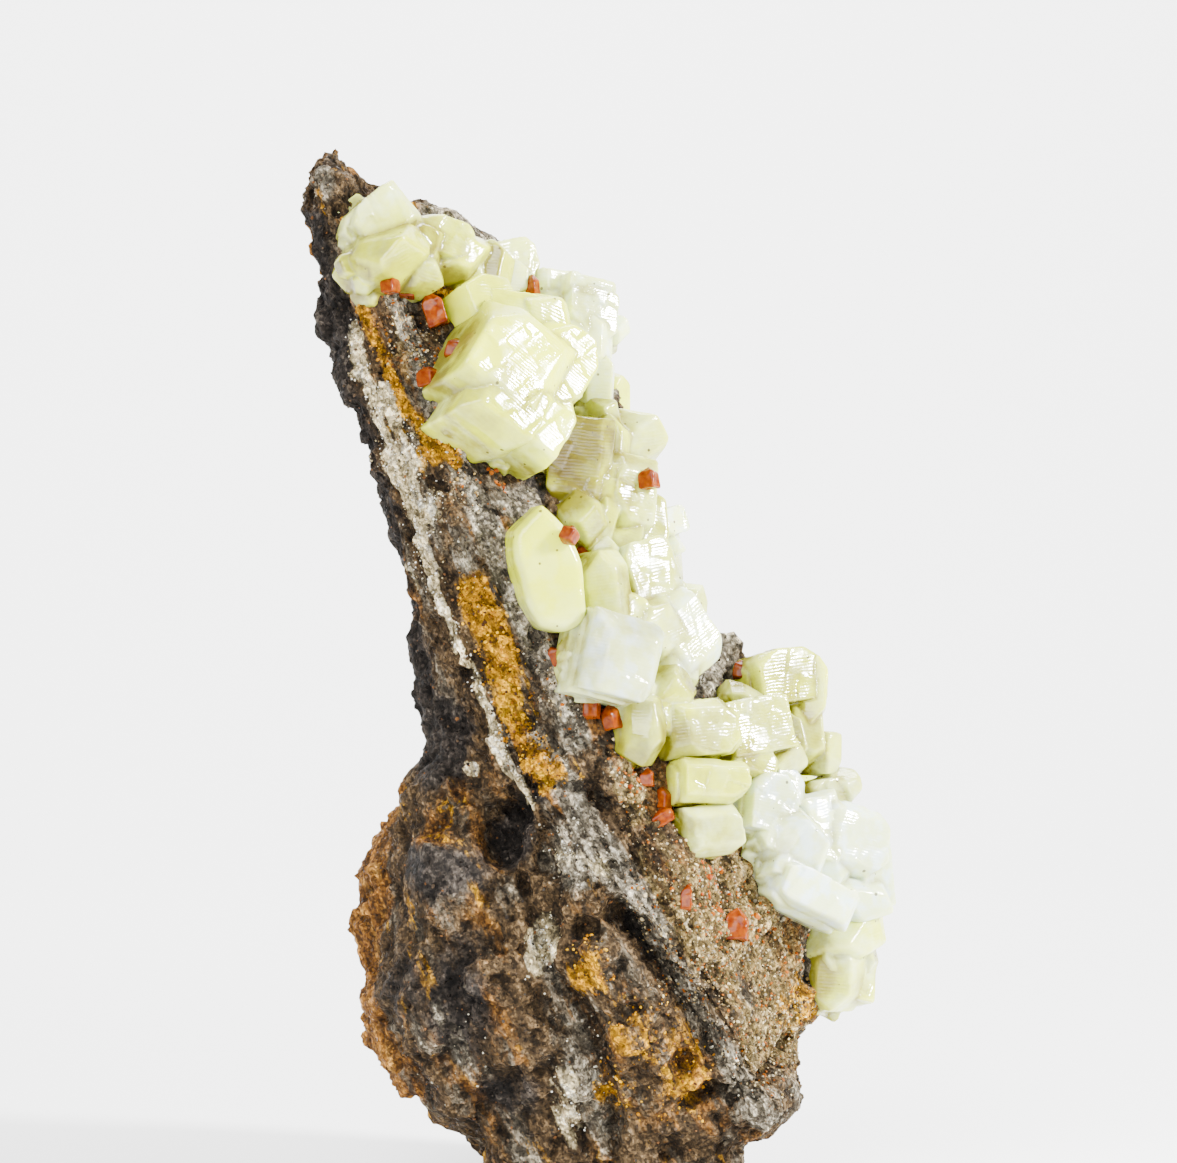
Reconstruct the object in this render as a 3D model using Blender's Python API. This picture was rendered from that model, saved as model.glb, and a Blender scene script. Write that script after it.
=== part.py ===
"""Cerussite crystals on a tall splinter of gossan rock, with small orange crocoite crystals.

Seen from the front (looking along +Y) the rock is a wedge: a narrow fin at the top, a knobbly block
at the foot. Its right-hand face is the wall of an old cavity, and carries the pale yellow-green
cerussite. The rock stands on a flat break at Z = 0. All sizes below are in millimetres, and MM turns
them into Blender's metres.
"""

import bmesh
import bpy
import numpy as np
from mathutils import Euler, Matrix, Vector
from mathutils.bvhtree import BVHTree

MM = 0.001
ROCK_HEIGHT = 51.45
# The rock is worked out to this far below its foot and then broken off flat, at Z = 0.
ROCK_SKIRT = 1.5
ROCK_TRIANGLES = 3750
# The gap left where a crystal meets the rock or another crystal, and that round the small orange ones.
GAP = 0.3
SMALL_GAP = 0.15
# Neighbouring faces of a crystal that lie within this many degrees of each other become one.
FLAT_WITHIN = 5.0
# Moves everything sideways, so that the box round the whole specimen is centred on the origin.
FRAME_SHIFT = Vector((-0.14, 0.47, 0.0))

# The rock's corner lines. Each runs up the rock as (height, x, y), and together they go round it.
LEFT_EDGE = (
    (-1.5, -5.4, 0.0), (1.0, -5.7, 0.0), (2.35, -6.3, 0.0), (3.75, -9.1, 0.3), (4.5, -10.9, 0.5),
    (6.5, -12.0, 0.5), (9.0, -12.4, 0.3), (13.0, -12.4, 0.0), (15.5, -12.2, -0.5), (16.75, -11.5, -0.8),
    (18.25, -10.85, -1.2), (20.25, -9.9, -1.8), (20.9, -9.3, -2.0), (21.25, -8.85, -2.3), (22.0, -8.8, -2.5),
    (24.5, -9.0, -2.8), (26.5, -9.2, -3.0), (29.0, -9.4, -3.0), (30.5, -9.75, -3.0), (33.0, -10.3, -3.0),
    (35.0, -10.7, -3.0), (37.0, -10.9, -3.0), (38.2, -11.5, -3.0), (38.6, -12.3, -3.0), (39.0, -12.6, -3.0),
    (41.25, -12.9, -2.9), (43.0, -13.35, -2.7), (44.75, -14.05, -2.5), (46.75, -14.6, -2.2),
    (48.5, -14.65, -1.8), (50.5, -14.65, -1.0), (51.2, -14.1, -0.4), (51.45, -13.7, 0.0),
)
LEFT_FRONT = (
    (-1.5, -4.5, -5.4), (2.35, -5.2, -6.0), (4.0, -7.4, -6.4), (6.5, -8.8, -7.0), (11.5, -9.0, -7.4),
    (15.5, -8.6, -7.4), (18.5, -7.6, -7.2), (20.5, -7.2, -6.8), (21.5, -7.0, -6.0), (24.0, -7.6, -5.8),
    (29.0, -8.8, -5.6), (34.0, -10.1, -5.4), (39.0, -11.8, -5.0), (44.0, -13.3, -4.4), (49.0, -14.1, -3.0),
    (50.5, -14.2, -2.0), (51.45, -13.6, -0.5),
)
BAND_LEFT = (
    (-1.5, 5.0, -6.2), (2.35, 5.8, -7.0), (4.0, 7.0, -7.8), (4.75, 7.2, -8.2), (6.5, 6.3, -8.8),
    (9.0, 4.7, -9.3), (11.5, 2.7, -9.5), (14.0, 1.2, -9.3), (16.5, -0.3, -9.0), (19.0, -3.3, -8.6),
    (21.5, -4.4, -8.3), (24.0, -5.3, -8.0), (26.5, -6.4, -7.8), (29.0, -7.55, -7.5), (31.5, -8.3, -7.2),
    (34.0, -9.2, -7.0), (36.5, -9.8, -6.8), (39.0, -10.45, -6.5), (41.5, -11.3, -6.1), (44.0, -12.2, -5.6),
    (49.0, -13.3, -4.0), (50.5, -13.5, -2.8), (51.45, -13.2, -0.8),
)
BAND_RIGHT = (
    (-1.5, 6.2, -4.9), (2.35, 7.0, -5.6), (4.0, 8.6, -6.8), (4.75, 8.7, -7.2), (6.0, 8.2, -7.8),
    (9.0, 6.7, -8.8), (11.5, 5.45, -9.5), (14.0, 4.45, -9.6), (16.5, 3.2, -9.4), (19.0, 2.2, -9.2),
    (21.5, 0.95, -9.0), (24.0, 0.0, -8.7), (26.5, -1.3, -8.4), (29.0, -2.5, -8.1), (34.0, -4.8, -7.5),
    (36.5, -6.3, -7.2), (39.0, -7.8, -6.9), (44.0, -10.5, -6.0), (47.0, -11.8, -5.0), (49.0, -12.5, -4.2),
    (50.5, -12.7, -2.8), (51.45, -12.8, -0.9),
)
RIGHT_EDGE = (
    (-1.5, 6.8, 0.4), (1.0, 7.1, 0.4), (2.25, 7.5, 0.4), (3.0, 9.1, 0.4), (4.0, 10.3, 0.3), (6.0, 10.5, 0.3),
    (7.0, 10.45, 0.3), (8.0, 11.0, 0.3), (9.0, 11.6, 0.4), (11.5, 11.9, 0.5), (14.0, 12.3, 0.6),
    (16.5, 12.1, 0.7), (19.0, 11.1, 0.8), (21.5, 10.1, 0.9), (24.0, 9.05, 0.9), (26.0, 8.0, 0.9),
    (26.7, 7.7, 0.9), (27.5, 6.1, 0.9), (28.4, 5.1, 0.8), (29.5, 4.0, 0.7), (31.5, 3.4, 0.7),
    (34.0, 2.8, 0.7),
    (35.5, 2.5, 0.7), (37.5, 1.8, 0.8), (39.0, 1.25, 0.9), (40.25, 0.6, 0.9), (41.75, 0.3, 1.0),
    (43.5, -1.0, 1.0), (44.5, -2.4, 1.0), (45.5, -3.9, 0.9), (46.5, -4.9, 0.8), (47.0, -5.4, 0.7),
    (47.75, -7.1, 0.5), (49.0, -9.6, 0.2), (49.65, -10.9, 0.1), (50.25, -11.4, 0.0), (51.0, -12.4, 0.1),
    (51.45, -13.0, 0.2),
)
BACK_RIGHT = (
    (-1.5, 6.0, 6.0), (2.35, 6.4, 6.6), (4.0, 8.2, 7.6), (6.5, 8.8, 8.6), (11.5, 9.4, 9.6), (15.5, 9.0, 10.1),
    (19.0, 7.6, 10.2), (24.0, 5.2, 10.0), (29.0, 1.6, 9.6), (34.0, 0.1, 9.2), (39.0, -2.0, 8.4),
    (44.0, -4.6, 6.6), (47.0, -7.6, 5.2), (49.0, -11.0, 3.6), (50.5, -12.4, 2.4), (51.45, -13.0, 1.2),
)
BACK_LEFT = (
    (-1.5, -5.0, 6.0), (2.35, -5.6, 6.4), (4.0, -7.6, 7.0), (6.5, -9.0, 7.6), (11.5, -9.8, 8.0),
    (15.5, -9.4, 7.6), (19.0, -8.0, 7.0), (21.5, -6.6, 6.4), (24.0, -6.8, 6.0), (29.0, -7.2, 5.2),
    (34.0, -8.2, 4.2), (39.0, -10.2, 2.6), (44.0, -12.3, 1.8), (47.0, -13.2, 1.6), (49.0, -13.6, 1.6),
    (50.5, -13.9, 1.3), (51.45, -13.6, 0.9),
)
CORNER_LINES = (LEFT_EDGE, LEFT_FRONT, BAND_LEFT, BAND_RIGHT, RIGHT_EDGE, BACK_RIGHT, BACK_LEFT)
SIDE_COLUMNS = (16, 26, 14, 30, 16, 32, 18)
ROCK_ROWS = 150
CORNER_ROUNDING_PASSES = 2

# The rock's relief all over: swells (height, pitch, seed) and flat broken facets (steepness, pitch, seed).
SWELLS = ((0.45, 5.2, 11), (0.20, 1.9, 12))
FACETS = ((0.62, 3.1, 21), (0.38, 1.6, 41))
RELIEF_SINK = 0.08
# The relief dies out over this height below the tip, so that the tip stays whole.
TIP_FADE = 2.5
CRACK_RAGGEDNESS = (0.18, 0.9, 31)
# How squarely a place has to face the front before its cracks and hollows are at their full depth.
FRONT_FACING = 0.45

# Open cracks across the front: (depth, half width, path in x and z).
CRACKS = (
    (2.6, 0.75, ((1.0, 14.2), (1.9, 13.1), (3.3, 11.2), (4.4, 9.8), (5.3, 8.4), (5.9, 6.9))),
    (1.5, 0.55, ((4.6, 4.6), (5.6, 5.2), (6.6, 4.6), (8.3, 5.4), (9.4, 7.0))),
    (0.9, 0.40, ((-3.7, 15.8), (-3.2, 13.8), (-2.4, 11.2), (-0.6, 9.0), (0.6, 6.0), (0.9, 2.4))),
    (0.8, 0.35, ((-3.4, 20.4), (-1.4, 20.4), (0.2, 19.4))),
    (0.6, 0.30, ((-12.3, 39.0), (-11.2, 36.5), (-10.2, 33.5), (-9.4, 30.0), (-8.6, 27.5))),
)
# Hollows (negative) and lumps (positive) on the front: (x, z, radius across, radius up, height).
FRONT_RELIEF = (
    (-4.6, 17.9, 1.5, 2.2, -2.4),
    (-2.6, 17.0, 1.1, 1.5, -1.1),
    (-2.2, 20.9, 2.0, 0.9, 1.2),
    (0.6, 14.9, 2.6, 1.3, 0.9),
    (-7.6, 15.6, 2.6, 2.6, 0.9),
    (-9.5, 9.0, 3.0, 3.6, 0.6),
    (-4.4, 8.2, 3.2, 2.6, 0.7),
    (2.3, 8.6, 2.3, 3.2, 0.7),
    (4.1, 6.4, 0.8, 0.9, -1.3),
    (0.2, 12.2, 1.2, 1.2, 0.6),
    (-0.4, 13.2, 0.8, 0.6, -0.8),
    (8.9, 4.6, 1.8, 1.6, 1.1),
    (-11.9, 39.6, 1.2, 2.4, 0.5),
    (-12.3, 43.2, 1.0, 1.4, -0.5),
    (-7.9, 30.6, 1.1, 1.7, -0.6),
    (-13.3, 49.6, 1.2, 1.0, 0.4),
)

# The ways out of the cavity wall (to the right, the front and up) and out of the flank behind it.
WALL_OUTWARD = Vector((0.68, -0.66, 0.32)).normalized()
FLANK_OUTWARD = Vector((0.93, 0.30, 0.20)).normalized()

# The cerussite. Each row is one crystal: its place across and up the front view (x, z), how far its
# middle stands out of the cavity wall (rise), its half sizes (across, deep, up), its lean, turn to the
# right and tip upward in degrees, and its form. Crystals that share a group have grown together.
CRYSTAL_GROUPS = {
    "cerussite_great_crystal": (
        (-4.75, 39.9, 1.7, (2.59, 2.72, 2.6), 38, 32, 14, "block"),
        (-5.2, 38.2, 1.5, (2.09, 2.2, 2.07), 38, 32, 14, "block"),
        (-2.75, 40.1, 1.8, (1.59, 2.42, 1.96), 38, 32, 14, "block"),
        (-3.75, 37.3, 1.6, (1.59, 2.2, 1.75), 38, 32, 14, "block"),
        (-2.95, 42.6, 1, (1.49, 1.87, 1.33), 20, 20, 18, "lump"),
    ),
    "cerussite_pentagon_crystal": (
        (-5.95, 43.35, 1.3, (1.81, 1.9, 1.54), 8, 12, 6, "tablet"),
    ),
    "cerussite_crown_cluster": (
        (-10.75, 47.75, 0.9, (1.6, 1.7, 1.42), -30, 20, 12, "block"),
        (-10.3, 45.65, 1, (1.98, 2.08, 1.43), -25, 25, 5, "lump"),
        (-7.95, 46.8, 0.9, (1.55, 1.65, 1.15), 20, 25, 18, "block"),
        (-7, 45.75, 1.1, (1.71, 1.8, 1.27), -28, 28, 10, "lump"),
        (-5.5, 45.3, 0.9, (1.21, 1.32, 1.22), 20, 30, 10, "prism"),
    ),
    "cerussite_crest_pair": (
        (-4.35, 45.75, 0.4, (1.0, 1.25, 1.1), -10, 30, 12, "block"),
        (-4.2, 44.75, 0.7, (0.9, 1.3, 0.95), 10, 35, 8, "prism"),
    ),
    "cerussite_striped_stack": (
        (-2.4, 44.8, 0.5, (0.85, 1.1, 0.6), 5, 30, 10, "block"),
        (-0.75, 44.25, 0.5, (1.35, 1.45, 0.58), 12, 30, 12, "block"),
        (-0.75, 43.1, 0.7, (1.32, 1.54, 1.17), 8, 30, 10, "block"),
        (-0.55, 41.7, 0.7, (1.16, 1.54, 1.22), 6, 32, 6, "prism"),
        (0.55, 42.55, 0.1, (0.75, 1.2, 0.9), -15, 40, 5, "lump"),
    ),
    "cerussite_side_sliver": (
        (-0.25, 39.75, 0.7, (0.83, 1.43, 1.54), 4, 42, 0, "prism"),
    ),
    "cerussite_honey_cluster": (
        (-0.95, 35.9, 1, (1.54, 1.65, 2.12), 6, 26, 6, "block"),
        (0.15, 38, 0.8, (0.88, 1.32, 0.9), 12, 30, 14, "lump"),
        (1.7, 36.85, 0.9, (1.5, 1.75, 1.65), -8, 30, 4, "lump"),
        (1.25, 34.3, 1.1, (1.26, 1.65, 1.8), 8, 34, 4, "block"),
        (2.05, 32.7, 0.9, (1.26, 1.65, 1.85), 10, 38, 8, "lump"),
        (-0.75, 33, 0.9, (1.1, 1.32, 1.33), -6, 22, 0, "lump"),
        (0.25, 32.5, 1.5, (0.66, 1.1, 1.38), 18, 24, 10, "prism"),
    ),
    "cerussite_rim_pair": (
        (3.35, 32.85, 0.4, (0.85, 1.15, 0.68), -12, 40, 10, "block"),
        (3.4, 31.65, 0.4, (0.85, 1.15, 0.68), -6, 36, 0, "lump"),
    ),
    "cerussite_yellow_tablet": (
        (-2.45, 30.45, 1.4, (1.72, 1.6, 3.0), -13, 10, 4, "tablet"),
    ),
    "cerussite_waist_cluster": (
        (0.25, 29.45, 1.1, (1.2, 1.6, 1.9), -6, 26, 4, "prism"),
        (2.0, 29.9, 1.1, (1.6, 2.0, 1.75), -12, 34, 12, "block"),
        (0.85, 26.3, 1.6, (1.76, 1.85, 1.91), 15, 22, 2, "block"),
        (-0.95, 26.6, 0.7, (0.61, 0.88, 1.59), 11, 18, 0, "prism"),
        (3.75, 27.05, 1.4, (1.5, 1.7, 1.95), -32, 34, 12, "block"),
        (2.35, 27.5, 0.8, (1.75, 1.9, 1.85), -20, 36, 4, "lump"),
    ),
    "cerussite_lower_step": (
        (2.2, 22.8, 1.1, (1.1, 1.32, 1.59), 4, 22, 0, "lump"),
        (3.25, 24.4, 0.9, (1.49, 1.56, 1.22), -28, 28, 8, "lump"),
        (4.65, 22.7, 1.3, (1.65, 1.73, 1.33), -4, 28, 8, "block"),
        (1.95, 24.35, 1.4, (0.42, 0.6, 1.0), 55, 20, 10, "prism"),
    ),
    "cerussite_square_block": (
        (5.25, 20.15, 1.2, (1.65, 1.7, 1.05), 3, 24, 6, "block"),
    ),
    "cerussite_milky_block": (
        (5.3, 17.85, 1.1, (1.4, 1.45, 1.25), -5, 22, 4, "block"),
    ),
    "cerussite_fan_cluster": (
        (8.8, 25.0, 0.5, (1.75, 1.9, 1.3), -6, 30, 10, "block"),
        (10.4, 24.4, 0.4, (0.75, 1.5, 1.65), 10, 38, 6, "prism"),
        (10.0, 22.4, 0.6, (1.2, 1.6, 1.85), 14, 34, 4, "lump"),
        (11.1, 21.4, 0.2, (0.65, 1.2, 1.05), 4, 40, 0, "block"),
    ),
    "cerussite_ridge_cluster": (
        (7.3, 22.6, 1.3, (1.76, 1.85, 1.33), -8, 28, 10, "block"),
        (7.75, 23.7, 0.8, (0.66, 1.32, 1.8), -62, 28, 6, "prism"),
        (8.75, 20.9, 1.1, (1.49, 1.56, 1.22), -18, 30, 6, "lump"),
    ),
    "cerussite_right_lumps": (
        (12.05, 19.55, 0.3, (0.95, 1.25, 1.0), 8, 40, 8, "lump"),
        (11.15, 19, 0.6, (1.16, 1.32, 1.01), -6, 34, 4, "block"),
    ),
    "cerussite_white_mass": (
        (8.25, 18.9, 1.1, (1.26, 1.43, 1.38), 12, 28, 8, "block"),
        (9.55, 16.95, 1.4, (1.76, 1.85, 1.85), -18, 28, 8, "lump"),
        (12.0, 16.95, 1, (1.85, 1.95, 1.7), 16, 34, 10, "block"),
        (13.1, 15.4, 0.3, (1.15, 1.5, 1.75), -4, 44, 4, "block"),
        (10.1, 14.65, 1.3, (2.2, 2.31, 1.01), 24, 26, -4, "block"),
        (12.5, 14.2, 0.9, (1.93, 2.03, 1.27), 8, 34, 0, "lump"),
    ),
    "cerussite_foot_cluster": (
        (12.35, 12.3, 0.8, (2.0, 2.1, 1.3), -10, 32, 4, "lump"),
        (11.75, 10.2, 0.9, (1.43, 1.5, 1.59), 4, 28, 0, "prism"),
        (12.75, 10.1, 0.4, (0.8, 1.3, 1.15), 12, 40, 6, "block"),
    ),
}

# Cerussite round the corner, on the flank that the front view hides: (y, z, rise), then as above.
REAR_CRYSTAL_GROUPS = {
    "cerussite_rear_upper": (
        (4.2, 41.2, 0.7, (1.2, 1.2, 1.5), 10, 78, 6, "block"),
        (5.2, 39.2, 0.7, (1.1, 1.1, 1.3), -14, 86, 0, "prism"),
    ),
    "cerussite_rear_middle": (
        (4.4, 31.4, 0.7, (1.3, 1.2, 1.6), 14, 80, 8, "block"),
        (5.6, 29.7, 0.6, (1.2, 1.1, 1.2), -8, 72, 0, "lump"),
        (4.7, 28.4, 0.6, (1.2, 1.1, 1.3), 22, 90, -6, "prism"),
    ),
    "cerussite_rear_lower": (
        (4.6, 21.6, 0.8, (1.5, 1.3, 1.4), -12, 70, 10, "block"),
        (4.9, 19.3, 0.8, (1.3, 1.3, 1.5), 8, 76, 2, "lump"),
        (6.6, 20.6, 0.6, (1.1, 1.1, 1.2), -20, 88, 4, "prism"),
    ),
    "cerussite_rear_foot": (
        (4.7, 13.8, 0.7, (1.4, 1.2, 1.4), 16, 76, 0, "block"),
        (5.9, 12.3, 0.6, (1.1, 1.1, 1.2), -10, 86, -8, "lump"),
    ),
}

# The crocoite: (x, z, rise, half sizes, lean) of each crystal large enough to be a piece of its own.
CROCOITE_CRYSTALS = (
    (-10.0, 44.35, 0.3, (0.42, 0.45, 0.45), 0),
    (-9.25, 44.2, 0.4, (0.46, 0.45, 0.42), 10),
    (-7.95, 43.35, 0.5, (0.58, 0.6, 0.95), -16),
    (-6.9, 41.3, 0.4, (0.38, 0.45, 0.58), 25),
    (-8.05, 39.9, 0.4, (0.66, 0.55, 0.5), 0),
    (-3.15, 44.6, 0.9, (0.32, 0.5, 0.6), 0),
    (2.6, 35.05, 0.35, (0.48, 0.5, 0.55), 0),
    (-1.3, 32.2, 0.6, (0.42, 0.42, 0.44), 30),
    (-0.6, 31.45, 0.5, (0.58, 0.45, 0.42), -30),
    (-1.95, 26.35, 0.2, (0.38, 0.4, 0.5), -25),
    (-0.2, 23.95, 0.3, (0.42, 0.45, 0.62), 8),
    (0.75, 23.4, 0.35, (0.45, 0.45, 0.62), -10),
    (2.45, 20.45, 0.2, (0.42, 0.42, 0.46), 0),
    (3.25, 19.45, 0.25, (0.45, 0.45, 0.56), 12),
    (3.2, 18.6, 0.2, (0.62, 0.45, 0.4), -25),
    (6.85, 13.3, 0.25, (0.6, 0.5, 0.8), 6),
    (4.35, 14.75, 0.1, (0.3, 0.35, 0.62), 10),
    (7.15, 25.55, 0.2, (0.32, 0.35, 0.5), 20),
)
CROCOITE_TURN = 25
CROCOITE_TIP = 10
CROCOITE_FIRST_SEED = 900
REAR_FIRST_SEED = 500

ROCK_COLOUR = (0.23, 0.17, 0.12, 1.0)
CERUSSITE_COLOUR = (0.84, 0.86, 0.62, 1.0)
CROCOITE_COLOUR = (0.78, 0.20, 0.03, 1.0)


def lattice_number(ix, iy, iz, seed):
    """A repeatable number from 0 to 1 for each whole-numbered point of a lattice."""
    n = (ix * 374761393 + iy * 668265263 + iz * 1440662683 + seed * 1274126177) & 0xFFFFFFFF
    n = ((n ^ (n >> 13)) * 1274126177) & 0xFFFFFFFF
    return ((n ^ (n >> 16)) & 0xFFFFFFFF) / 0xFFFFFFFF


def smooth_noise(points, pitch, seed):
    """Values from -1 to 1 on a cubic lattice of that pitch, blended with 3t^2 - 2t^3."""
    q = points / pitch
    base = np.floor(q).astype(np.int64)
    t = q - base
    t = t * t * (3 - 2 * t)
    total = np.zeros(points.shape[:-1])
    for corner in np.ndindex(2, 2, 2):
        weight = np.prod(np.where(np.array(corner, bool), t, 1 - t), axis=-1)
        cell = base + np.array(corner)
        total += weight * lattice_number(cell[..., 0], cell[..., 1], cell[..., 2], seed)
    return total * 2 - 1


def broken_facets(points, pitch, seed):
    """Each jittered lattice point owns the space nearest it, as one small plane with its own slope."""
    q = points / pitch
    base = np.floor(q).astype(np.int64)
    nearest = np.full(points.shape[:-1], np.inf)
    height = np.zeros(points.shape[:-1])
    for step in np.ndindex(3, 3, 3):
        cell = base + np.array(step) - 1
        index = cell[..., 0], cell[..., 1], cell[..., 2]
        middle = cell + np.stack([lattice_number(*index, seed + k) for k in range(3)], axis=-1)
        slope = np.stack([lattice_number(*index, seed + 3 + k) for k in range(3)], axis=-1) * 2 - 1
        offset = q - middle
        distance = (offset ** 2).sum(axis=-1)
        own = distance < nearest
        nearest = np.where(own, distance, nearest)
        height = np.where(own, (slope * offset).sum(axis=-1), height)
    return height


def distance_to_path(x, z, path):
    """Distance in the front view from each point to a bent line."""
    nearest = np.full(x.shape, np.inf)
    for (ax, az), (bx, bz) in zip(path[:-1], path[1:]):
        dx, dz = bx - ax, bz - az
        t = np.clip(((x - ax) * dx + (z - az) * dz) / (dx * dx + dz * dz), 0, 1)
        nearest = np.minimum(nearest, np.hypot(x - ax - t * dx, z - az - t * dz))
    return nearest


def corner_positions(heights):
    """x and y of the seven corner lines at each height: an array of rows by corners by two."""
    tables = [np.array(line) for line in CORNER_LINES]
    return np.stack(
        [np.stack([np.interp(heights, t[:, 0], t[:, k]) for k in (1, 2)], axis=-1) for t in tables], axis=1
    )


def grid_normals(grid):
    """Unit normals of a closed-round grid of points, from its neighbours' differences."""
    around = np.roll(grid, -1, axis=1) - np.roll(grid, 1, axis=1)
    upward = np.gradient(grid, axis=0)
    normal = np.cross(around, upward)
    return normal / np.maximum(np.linalg.norm(normal, axis=-1, keepdims=True), 1e-9)


def rock_surface(heights, side_columns):
    """The broken rock as a grid of points: straight sides between the corner lines, then its relief."""
    corners = corner_positions(heights)
    ring = []
    for k, columns in enumerate(side_columns):
        share = (np.arange(columns) / columns)[None, :, None]
        ring.append(corners[:, k, None] * (1 - share) + corners[:, (k + 1) % len(side_columns), None] * share)
    xy = np.concatenate(ring, axis=1)
    for _ in range(CORNER_ROUNDING_PASSES):
        xy = (np.roll(xy, 1, axis=1) + 2 * xy + np.roll(xy, -1, axis=1)) / 4
    grid = np.dstack([xy, np.broadcast_to(heights[:, None], xy.shape[:2])])
    normal = grid_normals(grid)
    return grid + normal * rock_relief(grid, normal)[..., None]


def rock_relief(grid, normal):
    """How far the surface stands out of its plain sides: facets, lumps, then the named cracks and hollows."""
    x, z = grid[..., 0], grid[..., 2]
    relief = sum(height * smooth_noise(grid, pitch, seed) for height, pitch, seed in SWELLS) - RELIEF_SINK
    relief += sum(steepness * broken_facets(grid, pitch, seed) for steepness, pitch, seed in FACETS)
    facing_front = np.clip(-normal[..., 1] / FRONT_FACING, 0, 1)
    raggedness, pitch, seed = CRACK_RAGGEDNESS
    for depth, half_width, path in CRACKS:
        distance = distance_to_path(x, z, path) + raggedness * smooth_noise(grid, pitch, seed)
        relief -= depth * facing_front * np.sqrt(np.clip(1 - distance / half_width, 0, 1))
    for cx, cz, across, up, height in FRONT_RELIEF:
        share = ((x - cx) / across) ** 2 + ((z - cz) / up) ** 2
        relief += height * facing_front * np.clip(1 - share, 0, 1)
    return relief * np.clip((ROCK_HEIGHT + 0.3 * TIP_FADE - z) / TIP_FADE, 0, 1)


def surface_y(x, z):
    """Depth of the rock's plain front at a place in the front view, on the band or the cavity wall."""
    band_left, band_right, edge = corner_positions(np.array([z]))[0, [2, 3, 4]]
    start, end = (band_left, band_right) if x < band_right[0] else (band_right, edge)
    share = min(max((x - start[0]) / (end[0] - start[0]), 0.0), 1.0)
    return start[1] + share * (end[1] - start[1])


def front_tree(objects):
    """The objects' faces, ready to be looked up from the front."""
    bm = bmesh.new()
    for obj in objects:
        bm.from_mesh(obj.data)
    tree = BVHTree.FromBMesh(bm)
    bm.free()
    return tree


def front_place(tree, x, z, rise):
    """The point that stands out by rise from what is foremost at a place in the front view."""
    hit = tree.ray_cast(Vector((x, -60, z)) * MM, Vector((0, 1, 0)))[0]
    depth = hit.y / MM if hit else surface_y(x, z)
    return Vector((x, min(depth, surface_y(x, z) + 1.5) - rise, z))


def unit_directions(count):
    """Directions spread evenly over a ball, by the golden angle."""
    k = np.arange(count) + 0.5
    up = 1 - 2 * k / count
    turn = np.pi * (1 + 5 ** 0.5) * k
    flat = np.sqrt(1 - up ** 2)
    return np.stack([flat * np.cos(turn), flat * np.sin(turn), up], axis=-1)


def form_planes(form, seed):
    """Outward directions and distances of the faces of a crystal of half size 1."""
    rng = np.random.default_rng(seed)
    if form == "block":
        faces = [(v, 1.0) for v in np.vstack([np.eye(3), -np.eye(3)])]
        for i, j in ((0, 1), (0, 2), (1, 2)):
            for a, b in ((1, 1), (1, -1), (-1, 1), (-1, -1)):
                edge = np.zeros(3)
                edge[i], edge[j] = a, b
                if rng.random() < 0.5:
                    faces.append((edge, rng.uniform(1.5, 1.8)))
        for corner in np.ndindex(2, 2, 2):
            if rng.random() < 0.4:
                faces.append((np.array(corner) * 2.0 - 1, rng.uniform(2.0, 2.5)))
    elif form in ("prism", "tablet"):
        sides = 7 if form == "tablet" else 6
        turns = 2 * np.pi * (np.arange(sides) + 0.5) / sides
        faces = [(np.array([np.sin(a), np.cos(a), 0.0]), rng.uniform(0.88, 1.0)) for a in turns]
        for end in (1, -1):
            faces.append((np.array([0.0, 0.0, end]), 1.0))
            for a in turns[::2]:
                faces.append((np.array([np.sin(a), np.cos(a), end * 1.1]), rng.uniform(1.45, 1.7)))
        if form == "tablet":
            faces = [(np.array([v[0], v[2], v[1]]), d) for v, d in faces]
    elif form == "needle":
        four = np.radians(np.arange(0, 360, 90) + rng.uniform(20, 70))
        faces = [(np.array([np.sin(a), np.cos(a), 0.0]), rng.uniform(0.75, 0.95)) for a in four]
        faces += [(np.array([np.sin(a), np.cos(a), 1.2]), rng.uniform(1.15, 1.5)) for a in four]
        faces.append((np.array([0.0, 0.0, -1.0]), 1.0))
    else:
        directions = unit_directions(15) + rng.normal(0, 0.14, (15, 3))
        faces = [(v / np.linalg.norm(v), rng.uniform(0.86, 1.04)) for v in directions]
    return np.array([v for v, _ in faces]), np.array([d for _, d in faces])


def crystal_planes(half_sizes, form, seed):
    """The same faces on a crystal of real half sizes: unit normals and distances."""
    directions, distances = form_planes(form, seed)
    directions = directions / np.array(half_sizes)
    length = np.linalg.norm(directions, axis=1)
    return directions / length[:, None], distances / length


def turned(lean, turn, tip):
    """Leans the crystal in the front view, tips its face upward, then turns it to the right."""
    return (
        Euler((0, 0, np.radians(turn))).to_matrix()
        @ Euler((-np.radians(tip), 0, 0)).to_matrix()
        @ Euler((0, np.radians(lean), 0)).to_matrix()
    )


def add_mesh_object(name, bm):
    """Makes an object of a bmesh and uses the bmesh up."""
    mesh = bpy.data.meshes.new(name)
    bm.to_mesh(mesh)
    bm.free()
    obj = bpy.data.objects.new(name, mesh)
    bpy.context.scene.collection.objects.link(obj)
    return obj


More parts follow.
